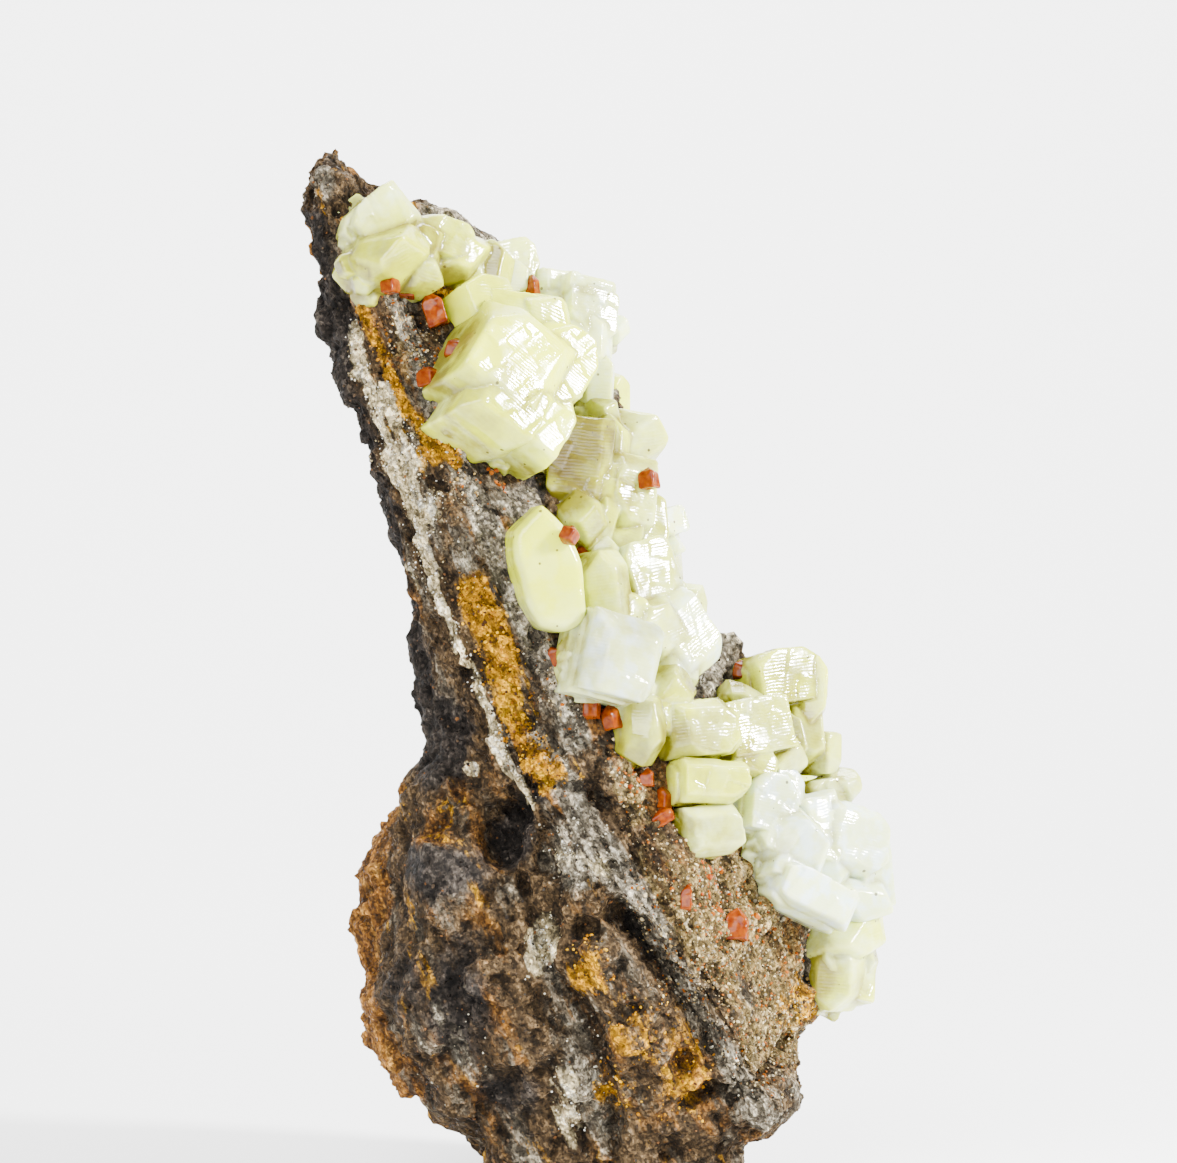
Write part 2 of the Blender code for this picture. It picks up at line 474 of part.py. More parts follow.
def cut_crystal(name, place, half_sizes, rotation, form, seed, grow=0.0):
    """A crystal cut from a cube, one plane for each of its faces, moved out by grow."""
    bm = bmesh.new()
    bmesh.ops.create_cube(bm, size=4 * max(half_sizes) + 2)
    for normal, distance in zip(*crystal_planes(half_sizes, form, seed)):
        cut = bmesh.ops.bisect_plane(
            bm, geom=bm.verts[:] + bm.edges[:] + bm.faces[:], clear_outer=True, dist=1e-5,
            plane_co=Vector(normal) * (distance + grow), plane_no=Vector(normal),
        )
        rim = [e for e in cut["geom_cut"] if isinstance(e, bmesh.types.BMEdge)]
        if len(rim) > 2:
            bmesh.ops.contextual_create(bm, geom=rim)
    bmesh.ops.remove_doubles(bm, verts=bm.verts[:], dist=0.01)
    bmesh.ops.recalc_face_normals(bm, faces=bm.faces[:])
    bm.transform(Matrix.Scale(MM, 4) @ Matrix.Translation(place) @ rotation.to_4x4())
    return add_mesh_object(name, bm)


def combine(obj, operation, other):
    """Joins or cuts with an exact Boolean, keeps the result as the object's mesh and drops the other."""
    modifier = obj.modifiers.new(operation, "BOOLEAN")
    modifier.operation = operation
    modifier.solver = "EXACT"
    modifier.use_self = True
    modifier.object = other
    evaluated = obj.evaluated_get(bpy.context.evaluated_depsgraph_get())
    mesh = bpy.data.meshes.new_from_object(evaluated)
    obj.modifiers.clear()
    obj.data = mesh
    bpy.data.objects.remove(other)


def keep_largest_body(obj):
    """Drops the slivers that a cut leaves beside the main body, and merges faces that are all but level."""
    bm = bmesh.new()
    bm.from_mesh(obj.data)
    bmesh.ops.remove_doubles(bm, verts=bm.verts[:], dist=0.004 * MM)
    left = set(bm.verts)
    bodies = []
    while left:
        queue = [left.pop()]
        body = set(queue)
        while queue:
            near = {e.other_vert(queue[-1]) for e in queue[-1].link_edges} - body
            queue.pop()
            queue.extend(near)
            body |= near
        left -= body
        bodies.append(body)
    largest = max(bodies, key=lambda body: sum(f.calc_area() for v in body for f in v.link_faces))
    bmesh.ops.delete(bm, geom=[v for v in bm.verts if v not in largest], context="VERTS")
    bmesh.ops.dissolve_limit(bm, angle_limit=np.radians(FLAT_WITHIN), verts=bm.verts[:], edges=bm.edges[:])
    bmesh.ops.triangulate(bm, faces=bm.faces[:])
    bm.to_mesh(obj.data)
    bm.free()


def mineral(name, colour, roughness, subsurface=0.0):
    """A plain material for one mineral."""
    material = bpy.data.materials.new(name)
    material.diffuse_color = colour
    material.use_nodes = True
    shader = material.node_tree.nodes["Principled BSDF"]
    shader.inputs["Base Color"].default_value = colour
    shader.inputs["Roughness"].default_value = roughness
    shader.inputs["Metallic"].default_value = 0.0
    shader.inputs["Subsurface Weight"].default_value = subsurface
    return material


def build_rock(material):
    """The rock: its surface grid, thinned to the faces that its shape needs, with a flat foot."""
    heights = np.linspace(-ROCK_SKIRT, ROCK_HEIGHT, ROCK_ROWS)
    grid = rock_surface(heights, SIDE_COLUMNS)
    rows, columns = grid.shape[:2]
    bm = bmesh.new()
    verts = [bm.verts.new(point) for point in grid.reshape(-1, 3) * MM]
    for i in range(rows - 1):
        for j in range(columns):
            k = (j + 1) % columns
            bm.faces.new([verts[i * columns + j], verts[i * columns + k],
                          verts[(i + 1) * columns + k], verts[(i + 1) * columns + j]])
    for i in (0, rows - 1):
        middle = bm.verts.new(Vector(grid[i].mean(axis=0)) * MM)
        for j in range(columns):
            bm.faces.new([middle, verts[i * columns + j], verts[i * columns + (j + 1) % columns]])
    bmesh.ops.recalc_face_normals(bm, faces=bm.faces[:])
    rock = add_mesh_object("gossan_rock", bm)
    thin = rock.modifiers.new("thin", "DECIMATE")
    thin.ratio = ROCK_TRIANGLES / (2 * rows * columns)
    evaluated = rock.evaluated_get(bpy.context.evaluated_depsgraph_get())
    mesh = bpy.data.meshes.new_from_object(evaluated)
    rock.modifiers.clear()
    rock.data = mesh
    bm = bmesh.new()
    bm.from_mesh(mesh)
    cut = bmesh.ops.bisect_plane(bm, geom=bm.verts[:] + bm.edges[:] + bm.faces[:], clear_inner=True,
                                 plane_co=(0, 0, 0), plane_no=(0, 0, 1), dist=1e-7)
    rim = [e for e in cut["geom_cut"] if isinstance(e, bmesh.types.BMEdge)]
    bmesh.ops.contextual_create(bm, geom=rim)
    bmesh.ops.triangulate(bm, faces=bm.faces[:])
    bmesh.ops.recalc_face_normals(bm, faces=bm.faces[:])
    bm.to_mesh(mesh)
    bm.free()
    mesh.materials.append(material)
    return rock


def rock_cutter(rock, outward, distance):
    """The rock moved outward by a distance, to cut what grows on it and leave that gap."""
    cutter = bpy.data.objects.new("rock_cutter", rock.data.copy())
    cutter.data.transform(Matrix.Translation(outward * distance * MM))
    bpy.context.scene.collection.objects.link(cutter)
    return cutter


def crystal_list(rock):
    """Every cerussite crystal as (group, place, half sizes, rotation, form, seed)."""
    tree = front_tree([rock])
    crystals = []
    for group, rows in CRYSTAL_GROUPS.items():
        for x, z, rise, half_sizes, lean, turn, tip, form in rows:
            place = front_place(tree, x, z, rise)
            crystals.append((group, place, half_sizes, turned(lean, turn, tip), form, len(crystals)))
    for group, rows in REAR_CRYSTAL_GROUPS.items():
        for y, z, rise, half_sizes, lean, turn, tip, form in rows:
            hit = tree.ray_cast(Vector((60, y, z)) * MM, Vector((-1, 0, 0)))[0]
            place = Vector((hit.x / MM + rise, y, z))
            seed = REAR_FIRST_SEED + len(crystals)
            crystals.append((group, place, half_sizes, turned(lean, turn, tip), form, seed))
    return crystals


def near(crystal, other):
    """Whether two crystals are close enough for their corners to meet."""
    return (crystal[1] - other[1]).length < 1.6 * (max(crystal[2]) + max(other[2])) + GAP


def finish_growth(obj, own, others, rock, outward, gap, material):
    """Cuts a piece back from the crystals near it and from the rock, so that a gap is left all round."""
    for other in others:
        if any(near(crystal, other) for crystal in own):
            combine(obj, "DIFFERENCE", cut_crystal("crystal_cutter", *other[1:], gap))
    combine(obj, "DIFFERENCE", rock_cutter(rock, outward, gap))
    keep_largest_body(obj)
    obj.data.materials.clear()
    obj.data.materials.append(material)


def build_cerussite(rock, material):
    """Joins each group's crystals, then cuts them back from the rock and from the groups before them."""
    crystals = crystal_list(rock)
    solids = []
    done = []
    for group in list(CRYSTAL_GROUPS) + list(REAR_CRYSTAL_GROUPS):
        own = [c for c in crystals if c[0] == group]
        solid = cut_crystal(group, *own[0][1:])
        for crystal in own[1:]:
            combine(solid, "UNION", cut_crystal("next_crystal", *crystal[1:]))
        outward = FLANK_OUTWARD if group in REAR_CRYSTAL_GROUPS else WALL_OUTWARD
        finish_growth(solid, own, done, rock, outward, GAP, material)
        solids.append(solid)
        done += own
    return crystals, solids


def build_crocoite(rock, crystals, solids, material):
    """The small orange crystals, cut back from the rock and the cerussite."""
    tree = front_tree([rock] + solids)
    done = list(crystals)
    for number, (x, z, rise, half_sizes, lean) in enumerate(CROCOITE_CRYSTALS, start=1):
        place = front_place(tree, x, z, rise)
        rotation = turned(lean, CROCOITE_TURN, CROCOITE_TIP)
        crystal = (None, place, half_sizes, rotation, "needle", CROCOITE_FIRST_SEED + number)
        solid = cut_crystal(f"crocoite_crystal_{number:02d}", *crystal[1:])
        finish_growth(solid, [crystal], done, rock, WALL_OUTWARD, SMALL_GAP, material)
        done.append(crystal)


def build_specimen():
    """Builds the rock, then what grows on it, and centres the whole."""
    for obj in list(bpy.data.objects):
        bpy.data.objects.remove(obj)
    rock = build_rock(mineral("gossan", ROCK_COLOUR, 0.85))
    crystals, solids = build_cerussite(rock, mineral("cerussite", CERUSSITE_COLOUR, 0.25, 0.5))
    build_crocoite(rock, crystals, solids, mineral("crocoite", CROCOITE_COLOUR, 0.3, 0.2))
    for obj in bpy.data.objects:
        obj.data.transform(Matrix.Translation(FRAME_SHIFT * MM))


build_specimen()
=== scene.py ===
import bpy
import numpy as np
from mathutils import Euler, Matrix, Vector
from mathutils.bvhtree import BVHTree


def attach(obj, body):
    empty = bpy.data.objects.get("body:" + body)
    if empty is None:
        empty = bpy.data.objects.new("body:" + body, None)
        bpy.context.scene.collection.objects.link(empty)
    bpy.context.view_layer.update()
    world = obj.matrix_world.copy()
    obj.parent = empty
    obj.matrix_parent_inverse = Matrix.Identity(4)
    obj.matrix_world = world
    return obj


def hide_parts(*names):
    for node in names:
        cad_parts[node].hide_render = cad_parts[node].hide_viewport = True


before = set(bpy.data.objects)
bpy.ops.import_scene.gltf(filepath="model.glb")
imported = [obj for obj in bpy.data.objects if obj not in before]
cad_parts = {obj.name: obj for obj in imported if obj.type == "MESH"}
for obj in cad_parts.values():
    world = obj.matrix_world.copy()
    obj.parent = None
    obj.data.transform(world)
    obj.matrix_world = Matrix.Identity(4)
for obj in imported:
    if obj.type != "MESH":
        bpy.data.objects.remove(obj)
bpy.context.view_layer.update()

# The gossan rock. A splinter broken from an ore vein that has rusted away: hard brown-black iron oxide with
# soft yellow ochre in its hollows, a thin white vein, and a layered grey band beside the old cavity's wall.
# It is one piece, and stands on a flat break. Sizes are in millimetres, and MM makes them metres.
MM = 0.001
FRAME_SHIFT = np.array((-0.14, 0.47, 0.0))
ROCK_HEIGHT = 51.45
# The rock's seven upright corner lines, as (z, x, y) from the foot to the tip, anticlockwise from above. The
# front ones follow the photo, and the last two, behind, are guessed.
LEFT_EDGE = (
    (-1.5, -5.4, 0.0), (1.0, -5.7, 0.0), (2.35, -6.3, 0.0), (3.75, -9.1, 0.3), (4.5, -10.9, 0.5),
    (6.5, -12.0, 0.5), (9.0, -12.4, 0.3), (13.0, -12.4, 0.0), (15.5, -12.2, -0.5), (16.75, -11.5, -0.8),
    (18.25, -10.85, -1.2), (20.25, -9.9, -1.8), (20.9, -9.3, -2.0), (21.25, -8.85, -2.3), (22.0, -8.8, -2.5),
    (24.5, -9.0, -2.8), (26.5, -9.2, -3.0), (29.0, -9.4, -3.0), (30.5, -9.75, -3.0), (33.0, -10.3, -3.0),
    (35.0, -10.7, -3.0), (37.0, -10.9, -3.0), (38.2, -11.5, -3.0), (38.6, -12.3, -3.0), (39.0, -12.6, -3.0),
    (41.25, -12.9, -2.9), (43.0, -13.35, -2.7), (44.75, -14.05, -2.5), (46.75, -14.6, -2.2),
    (48.5, -14.65, -1.8), (50.5, -14.65, -1.0), (51.2, -14.1, -0.4), (51.45, -13.7, 0.0),
)
LEFT_FRONT = (
    (-1.5, -4.5, -5.4), (2.35, -5.2, -6.0), (4.0, -7.4, -6.4), (6.5, -8.8, -7.0), (11.5, -9.0, -7.4),
    (15.5, -8.6, -7.4), (18.5, -7.6, -7.2), (20.5, -7.2, -6.8), (21.5, -7.0, -6.0), (24.0, -7.6, -5.8),
    (29.0, -8.8, -5.6), (34.0, -10.1, -5.4), (39.0, -11.8, -5.0), (44.0, -13.3, -4.4), (49.0, -14.1, -3.0),
    (50.5, -14.2, -2.0), (51.45, -13.6, -0.5),
)
BAND_LEFT = (
    (-1.5, 5.0, -6.2), (2.35, 5.8, -7.0), (4.0, 7.0, -7.8), (4.75, 7.2, -8.2), (6.5, 6.3, -8.8),
    (9.0, 4.7, -9.3), (11.5, 2.7, -9.5), (14.0, 1.2, -9.3), (16.5, -0.3, -9.0), (19.0, -3.3, -8.6),
    (21.5, -4.4, -8.3), (24.0, -5.3, -8.0), (26.5, -6.4, -7.8), (29.0, -7.55, -7.5), (31.5, -8.3, -7.2),
    (34.0, -9.2, -7.0), (36.5, -9.8, -6.8), (39.0, -10.45, -6.5), (41.5, -11.3, -6.1), (44.0, -12.2, -5.6),
    (49.0, -13.3, -4.0), (50.5, -13.5, -2.8), (51.45, -13.2, -0.8),
)
BAND_RIGHT = (
    (-1.5, 6.2, -4.9), (2.35, 7.0, -5.6), (4.0, 8.6, -6.8), (4.75, 8.7, -7.2), (6.0, 8.2, -7.8),
    (9.0, 6.7, -8.8), (11.5, 5.45, -9.5), (14.0, 4.45, -9.6), (16.5, 3.2, -9.4), (19.0, 2.2, -9.2),
    (21.5, 0.95, -9.0), (24.0, 0.0, -8.7), (26.5, -1.3, -8.4), (29.0, -2.5, -8.1), (34.0, -4.8, -7.5),
    (36.5, -6.3, -7.2), (39.0, -7.8, -6.9), (44.0, -10.5, -6.0), (47.0, -11.8, -5.0), (49.0, -12.5, -4.2),
    (50.5, -12.7, -2.8), (51.45, -12.8, -0.9),
)
RIGHT_EDGE = (
    (-1.5, 6.8, 0.4), (1.0, 7.1, 0.4), (2.25, 7.5, 0.4), (3.0, 9.1, 0.4), (4.0, 10.3, 0.3), (6.0, 10.5, 0.3),
    (7.0, 10.45, 0.3), (8.0, 11.0, 0.3), (9.0, 11.6, 0.4), (11.5, 11.9, 0.5), (14.0, 12.3, 0.6),
    (16.5, 12.1, 0.7), (19.0, 11.1, 0.8), (21.5, 10.1, 0.9), (24.0, 9.05, 0.9), (26.0, 8.0, 0.9),
    (26.7, 7.7, 0.9), (27.5, 6.1, 0.9), (28.4, 5.1, 0.8), (29.5, 4.0, 0.7), (31.5, 3.4, 0.7),
    (34.0, 2.8, 0.7), (35.5, 2.5, 0.7), (37.5, 1.8, 0.8), (39.0, 1.25, 0.9), (40.25, 0.6, 0.9),
    (41.75, 0.3, 1.0), (43.5, -1.0, 1.0), (44.5, -2.4, 1.0), (45.5, -3.9, 0.9), (46.5, -4.9, 0.8),
    (47.0, -5.4, 0.7), (47.75, -7.1, 0.5), (49.0, -9.6, 0.2), (49.65, -10.9, 0.1), (50.25, -11.4, 0.0),
    (51.0, -12.4, 0.1), (51.45, -13.0, 0.2),
)
BACK_RIGHT = (
    (-1.5, 6.0, 6.0), (2.35, 6.4, 6.6), (4.0, 8.2, 7.6), (6.5, 8.8, 8.6), (11.5, 9.4, 9.6), (15.5, 9.0, 10.1),
    (19.0, 7.6, 10.2), (24.0, 5.2, 10.0), (29.0, 1.6, 9.6), (34.0, 0.1, 9.2), (39.0, -2.0, 8.4),
    (44.0, -4.6, 6.6), (47.0, -7.6, 5.2), (49.0, -11.0, 3.6), (50.5, -12.4, 2.4), (51.45, -13.0, 1.2),
)
BACK_LEFT = (
    (-1.5, -5.0, 6.0), (2.35, -5.6, 6.4), (4.0, -7.6, 7.0), (6.5, -9.0, 7.6), (11.5, -9.8, 8.0),
    (15.5, -9.4, 7.6), (19.0, -8.0, 7.0), (21.5, -6.6, 6.4), (24.0, -6.8, 6.0), (29.0, -7.2, 5.2),
    (34.0, -8.2, 4.2), (39.0, -10.2, 2.6), (44.0, -12.3, 1.8), (47.0, -13.2, 1.6), (49.0, -13.6, 1.6),
    (50.5, -13.9, 1.3), (51.45, -13.6, 0.9),
)
CORNER_LINES = (LEFT_EDGE, LEFT_FRONT, BAND_LEFT, BAND_RIGHT, RIGHT_EDGE, BACK_RIGHT, BACK_LEFT)
# Mesh columns on each side between two corner lines, and rows upward.
SIDE_COLUMNS = (26, 62, 36, 70, 28, 30, 18)
ROCK_ROWS = 365
CORNER_ROUNDING = 0.75
# The broken surface, as on the solid: swells (height, pitch, seed) and facets (steepness, pitch, seed), all
# sunk a little, softened, and faded out toward the tip.
SWELLS = ((0.45, 5.2, 11), (0.20, 1.9, 12))
FACETS = ((0.62, 3.1, 21), (0.38, 1.6, 41))
RELIEF_SINK = 0.08
RELIEF_SOFTENING = 1
TIP_FADE = 2.5
# How far round a point its neighbourhood reaches, and the depth below it that counts as a full hollow, for
# the painted shade in hollows and the painted light on raised parts.
HOLLOW_PASSES = 14
HOLLOW_DEPTH = 0.36
# Cracks (depth, half width, line) with ragged sides (sway, pitch, seed), and lumps and hollows (x, z, radius
# across, radius up, height), all only where the surface faces the front.
FRONT_FACING = 0.45
CRACK_RAGGEDNESS = (0.18, 0.9, 31)
CRACKS = (
    (2.6, 0.75, ((1.0, 14.2), (1.9, 13.1), (3.3, 11.2), (4.4, 9.8), (5.3, 8.4), (5.9, 6.9))),
    (1.5, 0.55, ((4.6, 4.6), (5.6, 5.2), (6.6, 4.6), (8.3, 5.4), (9.4, 7.0))),
    (0.9, 0.40, ((-3.7, 15.8), (-3.2, 13.8), (-2.4, 11.2), (-0.6, 9.0), (0.6, 6.0), (0.9, 2.4))),
    (0.8, 0.35, ((-3.4, 20.4), (-1.4, 20.4), (0.2, 19.4))),
    (0.6, 0.30, ((-12.3, 39.0), (-11.2, 36.5), (-10.2, 33.5), (-9.4, 30.0), (-8.6, 27.5))),
)
FRONT_RELIEF = (
    (-4.6, 17.9, 1.5, 2.2, -2.4),
    (-2.6, 17.0, 1.1, 1.5, -1.1),
    (-2.2, 20.9, 2.0, 0.9, 1.2),
    (0.6, 14.9, 2.6, 1.3, 0.9),
    (-7.6, 15.6, 2.6, 2.6, 0.9),
    (-9.5, 9.0, 3.0, 3.6, 0.6),
    (-4.4, 8.2, 3.2, 2.6, 0.7),
    (2.3, 8.6, 2.3, 3.2, 0.7),
    (4.1, 6.4, 0.8, 0.9, -1.3),
    (0.2, 12.2, 1.2, 1.2, 0.6),
    (-0.4, 13.2, 0.8, 0.6, -0.8),
    (8.9, 4.6, 1.8, 1.6, 1.1),
    (-11.9, 39.6, 1.2, 2.4, 0.5),
    (-12.3, 43.2, 1.0, 1.4, -0.5),
    (-7.9, 30.6, 1.1, 1.7, -0.6),
    (-13.3, 49.6, 1.2, 1.0, 0.4),
)
# Where the broken crest stands higher: (x, z, radius across, radius up, height).
CREST_LIFTS = (
    (-8.3, 48.5, 1.6, 1.4, 0.50), (-6.6, 47.5, 1.8, 1.3, 0.50), (-4.9, 46.4, 1.4, 1.2, 0.4),
    (1.4, 40.2, 1.3, 2.0, 0.5), (7.2, 27.6, 1.8, 1.4, 0.5),
)
CREST_DEPTH = 4
# The finer breakage that only the surface carries: (height, pitch, seed) and (steepness, pitch, seed). The
# dome on the left has less of it: (x, z, radius across, radius up, share taken away).
FINE_SWELLS = ((0.07, 0.85, 51), (0.05, 0.40, 52), (0.03, 0.22, 53))
FINE_FACETS = ((0.16, 0.80, 61), (0.11, 0.42, 71))
FINE_SINK = 0.05
SMOOTH_DOME = (-7.4, 15.7, 2.8, 2.2, 0.6)
# The layered band's steps: their height and pitch, the band's half width and line, and how the steps wander.
LAYER_HEIGHT = 0.20
LAYER_PITCH = 0.55
LAYER_HALF_WIDTH = 2.4
LAYER_PATH = ((-2.6, 22.4), (-0.5, 18.9), (2.3, 14.6), (4.8, 10.3), (7.2, 6.4), (8.3, 4.2))
LAYER_WANDER = (0.5, 2.2, 81)
# Mineral zones on the front, with painted shade among the dark ones: (x, z, radius across, radius up, lean,
# strength) and (half width, path).
DARK_AND_SHADED_PATCHES = (
    # Painted shade: the second patch is the shadow under the ledge, the third the shadow in the cave below
    # it.
    (-7.3, 15.8, 2.8, 2.2, 0, 1.0), (-1.95, 19.9, 2.4, 0.8, -10, 1.0), (-4.4, 17.8, 1.6, 2.6, 0, 1.0),
    (-7.5, 22.0, 2.2, 3.6, 10, 1.0), (-6.6, 9.6, 3.6, 4.6, 10, 0.75), (-4.2, 5.0, 2.6, 2.0, 0, 0.6),
    (-13.6, 46.6, 1.0, 1.6, 0, 0.6), (-4.6, 30.0, 0.9, 2.2, 25, 0.7), (-2.9, 34.6, 1.2, 1.6, 20, 0.9),
    (-8.8, 10.5, 2.6, 3.6, 0, 0.6),
)
DARK_AND_SHADED_PATHS = (
    (1.5, ((-14.2, 47.5), (-13.9, 45.0), (-13.0, 41.5), (-11.9, 37.5), (-10.6, 32.5), (-9.4, 27.5),
           (-8.4, 22.0))),
    # Painted shade along the big crack.
    (0.5, ((1.4, 13.6), (3.3, 11.2), (5.3, 8.4))),
)
RUST_PATHS = (
    (1.9, ((-10.6, 19.4), (-11.9, 15.5), (-12.3, 11.5), (-11.8, 7.5), (-10.0, 4.4))),
    (0.5, ((-13.2, 38.9), (-13.9, 43.0), (-14.6, 47.5))),
    (0.5, ((-4.3, 23.6), (-3.2, 20.9), (-1.4, 18.9))),
)
OCHRE_PATCHES = (
    (-7.6, 36.3, 1.4, 0.9, -25, 1.0), (-4.6, 25.8, 1.0, 1.6, -18, 0.9), (-0.3, 11.4, 1.4, 1.7, -20, 0.75),
    (2.3, 8.2, 2.3, 3.0, -30, 0.50), (3.8, 5.4, 2.2, 2.6, -20, 0.48), (-9.6, 22.9, 0.5, 0.5, 0, 0.7),
    (1.0, 5.4, 1.6, 2.4, 0, 0.45), (-7.4, 44.0, 1.0, 0.5, 20, 0.7), (9.9, 9.0, 1.2, 1.8, 0, 0.6),
)
OCHRE_PATHS = (
    (0.65, ((-12.1, 47.4), (-11.8, 45.0), (-11.3, 43.0), (-10.5, 41.0))),
    (0.45, ((-10.5, 41.0), (-9.4, 38.6), (-8.3, 37.0), (-6.8, 35.6))),
    (1.25, ((-6.0, 29.6), (-5.2, 27.5), (-4.4, 24.8), (-3.6, 22.2), (-2.4, 20.6))),
)
CHALK_PATCHES = (
    (-9.4, 36.0, 1.5, 2.4, -15, 0.8), (-8.4, 33.4, 1.4, 1.8, -10, 0.9), (-8.3, 30.8, 0.9, 2.4, -15, 0.6),
    (-2.7, 12.4, 0.9, 2.0, 15, 1.0), (-1.6, 16.6, 1.5, 1.0, 20, 0.6), (0.2, 16.2, 0.9, 0.9, 0, 0.5),
    (-1.4, 4.6, 1.0, 2.6, -8, 0.6), (-6.2, 20.9, 0.5, 0.4, 0, 0.6),
)
CHALK_PATHS = (
    (0.42, ((-12.2, 42.4), (-11.6, 40.6), (-10.5, 38.4), (-9.8, 35.5), (-8.4, 31.0), (-7.6, 29.0),
            (-6.3, 26.2), (-5.2, 23.4), (-4.4, 21.0), (-3.2, 19.0))),
    (0.60, ((-10.3, 39.2), (-9.2, 36.0), (-8.7, 33.2))),
)
GREY_PATCHES = (
    (-1.2, 16.8, 2.4, 2.6, 10, 0.9), (-0.8, 6.0, 1.8, 5.4, -18, 0.8), (-7.4, 47.9, 3.6, 1.6, -28, 1.0),
    (-13.6, 49.4, 1.1, 1.6, 0, 0.55), (0.6, 39.8, 1.0, 2.0, 0, 0.9), (5.8, 27.6, 2.6, 2.2, 0, 0.9),
    (-3.4, 33.6, 1.8, 1.6, 0, 0.7), (-6.5, 31.5, 1.1, 3.6, -15, 0.7), (9.6, 4.4, 2.2, 2.0, 0, 0.5),
    (-7.0, 7.5, 3.4, 3.2, 20, 0.35),
)
GREY_PATHS = (
    (1.1, ((-3.0, 22.4), (-0.9, 18.9), (1.9, 14.6), (4.4, 10.3), (6.7, 6.4), (7.9, 4.2))),
    (3.0, ((-6.5, 46.5), (-2.5, 39.5), (1.2, 31.0), (4.5, 26.0), (8.0, 20.0), (10.5, 15.0))),
    (1.1, ((-9.6, 44.0), (-8.2, 40.0), (-6.2, 34.5), (-4.4, 31.0), (-2.6, 26.5), (-1.0, 22.5))),
)
TAN_PATCHES = (
    (6.2, 13.6, 4.8, 7.0, -25, 0.9), (-9.0, 41.6, 1.7, 3.0, -20, 0.8), (1.6, 20.0, 1.4, 3.0, -20, 0.8),
    (8.6, 8.6, 3.0, 4.6, -20, 0.8), (-1.7, 24.6, 1.4, 2.4, -20, 0.6), (-6.4, 34.6, 1.2, 2.0, -30, 0.6),
)
# A zone's strength in its middle, how fast it falls off to its edge, and how far round the side it reaches.
ZONE_STRENGTH = 0.8
ZONE_FALL = 1.4
ZONE_END = 3.2
ZONE_END_FADE = 2


def lattice_number(ix, iy, iz, seed):
    """A repeatable number from 0 to 1 for each whole-numbered point of a lattice, by mixing its bits."""
    n = (ix * 374761393 + iy * 668265263 + iz * 1440662683 + seed * 1274126177) & 0xFFFFFFFF
    n = ((n ^ (n >> 13)) * 1274126177) & 0xFFFFFFFF
    return ((n ^ (n >> 16)) & 0xFFFFFFFF) / 0xFFFFFFFF


def smooth_noise(points, pitch, seed):
    """Lattice numbers from -1 to 1 at the pitch's spacing, blended along each axis with 3t^2 - 2t^3."""
    q = points / pitch
    base = np.floor(q).astype(np.int64)
    t = q - base
    t = t * t * (3 - 2 * t)
    total = np.zeros(points.shape[:-1])
    for corner in np.ndindex(2, 2, 2):
        weight = np.prod(np.where(np.array(corner, bool), t, 1 - t), axis=-1)
        cell = base + np.array(corner)
        total += weight * lattice_number(cell[..., 0], cell[..., 1], cell[..., 2], seed)
    return total * 2 - 1


def broken_facets(points, pitch, seed):
    """Each jittered lattice point owns the space nearest it: height = its own slope . (point - itself)."""
    q = points / pitch
    base = np.floor(q).astype(np.int64)
    nearest = np.full(points.shape[:-1], np.inf)
    height = np.zeros(points.shape[:-1])
    for step in np.ndindex(3, 3, 3):
        cell = base + np.array(step) - 1
        index = cell[..., 0], cell[..., 1], cell[..., 2]
        middle = cell + np.stack([lattice_number(*index, seed + k) for k in range(3)], axis=-1)
        slope = np.stack([lattice_number(*index, seed + 3 + k) for k in range(3)], axis=-1) * 2 - 1
        offset = q - middle
        distance = (offset ** 2).sum(axis=-1)
        own = distance < nearest
        nearest = np.where(own, distance, nearest)
        height = np.where(own, (slope * offset).sum(axis=-1), height)
    return height


def distance_to_path(x, z, path):
    """Distance in the front view to the nearest point of a bent line, segment by segment."""
    nearest = np.full(x.shape, np.inf)
    for (ax, az), (bx, bz) in zip(path[:-1], path[1:]):
        dx, dz = bx - ax, bz - az
        t = np.clip(((x - ax) * dx + (z - az) * dz) / (dx * dx + dz * dz), 0, 1)
        nearest = np.minimum(nearest, np.hypot(x - ax - t * dx, z - az - t * dz))
    return nearest


def corner_positions(heights):
    """x and y of the seven corner lines at each height, read straight between their points."""
    tables = [np.array(line) for line in CORNER_LINES]
    return np.stack(
        [np.stack([np.interp(heights, t[:, 0], t[:, k]) for k in (1, 2)], axis=-1) for t in tables], axis=1
    )


def grid_normals(grid):
    """Unit cross product of each point's step round the rock and its step up it."""
    around = np.roll(grid, -1, axis=1) - np.roll(grid, 1, axis=1)
    upward = np.gradient(grid, axis=0)
    normal = np.cross(around, upward)
    return normal / np.maximum(np.linalg.norm(normal, axis=-1, keepdims=True), 1e-9)


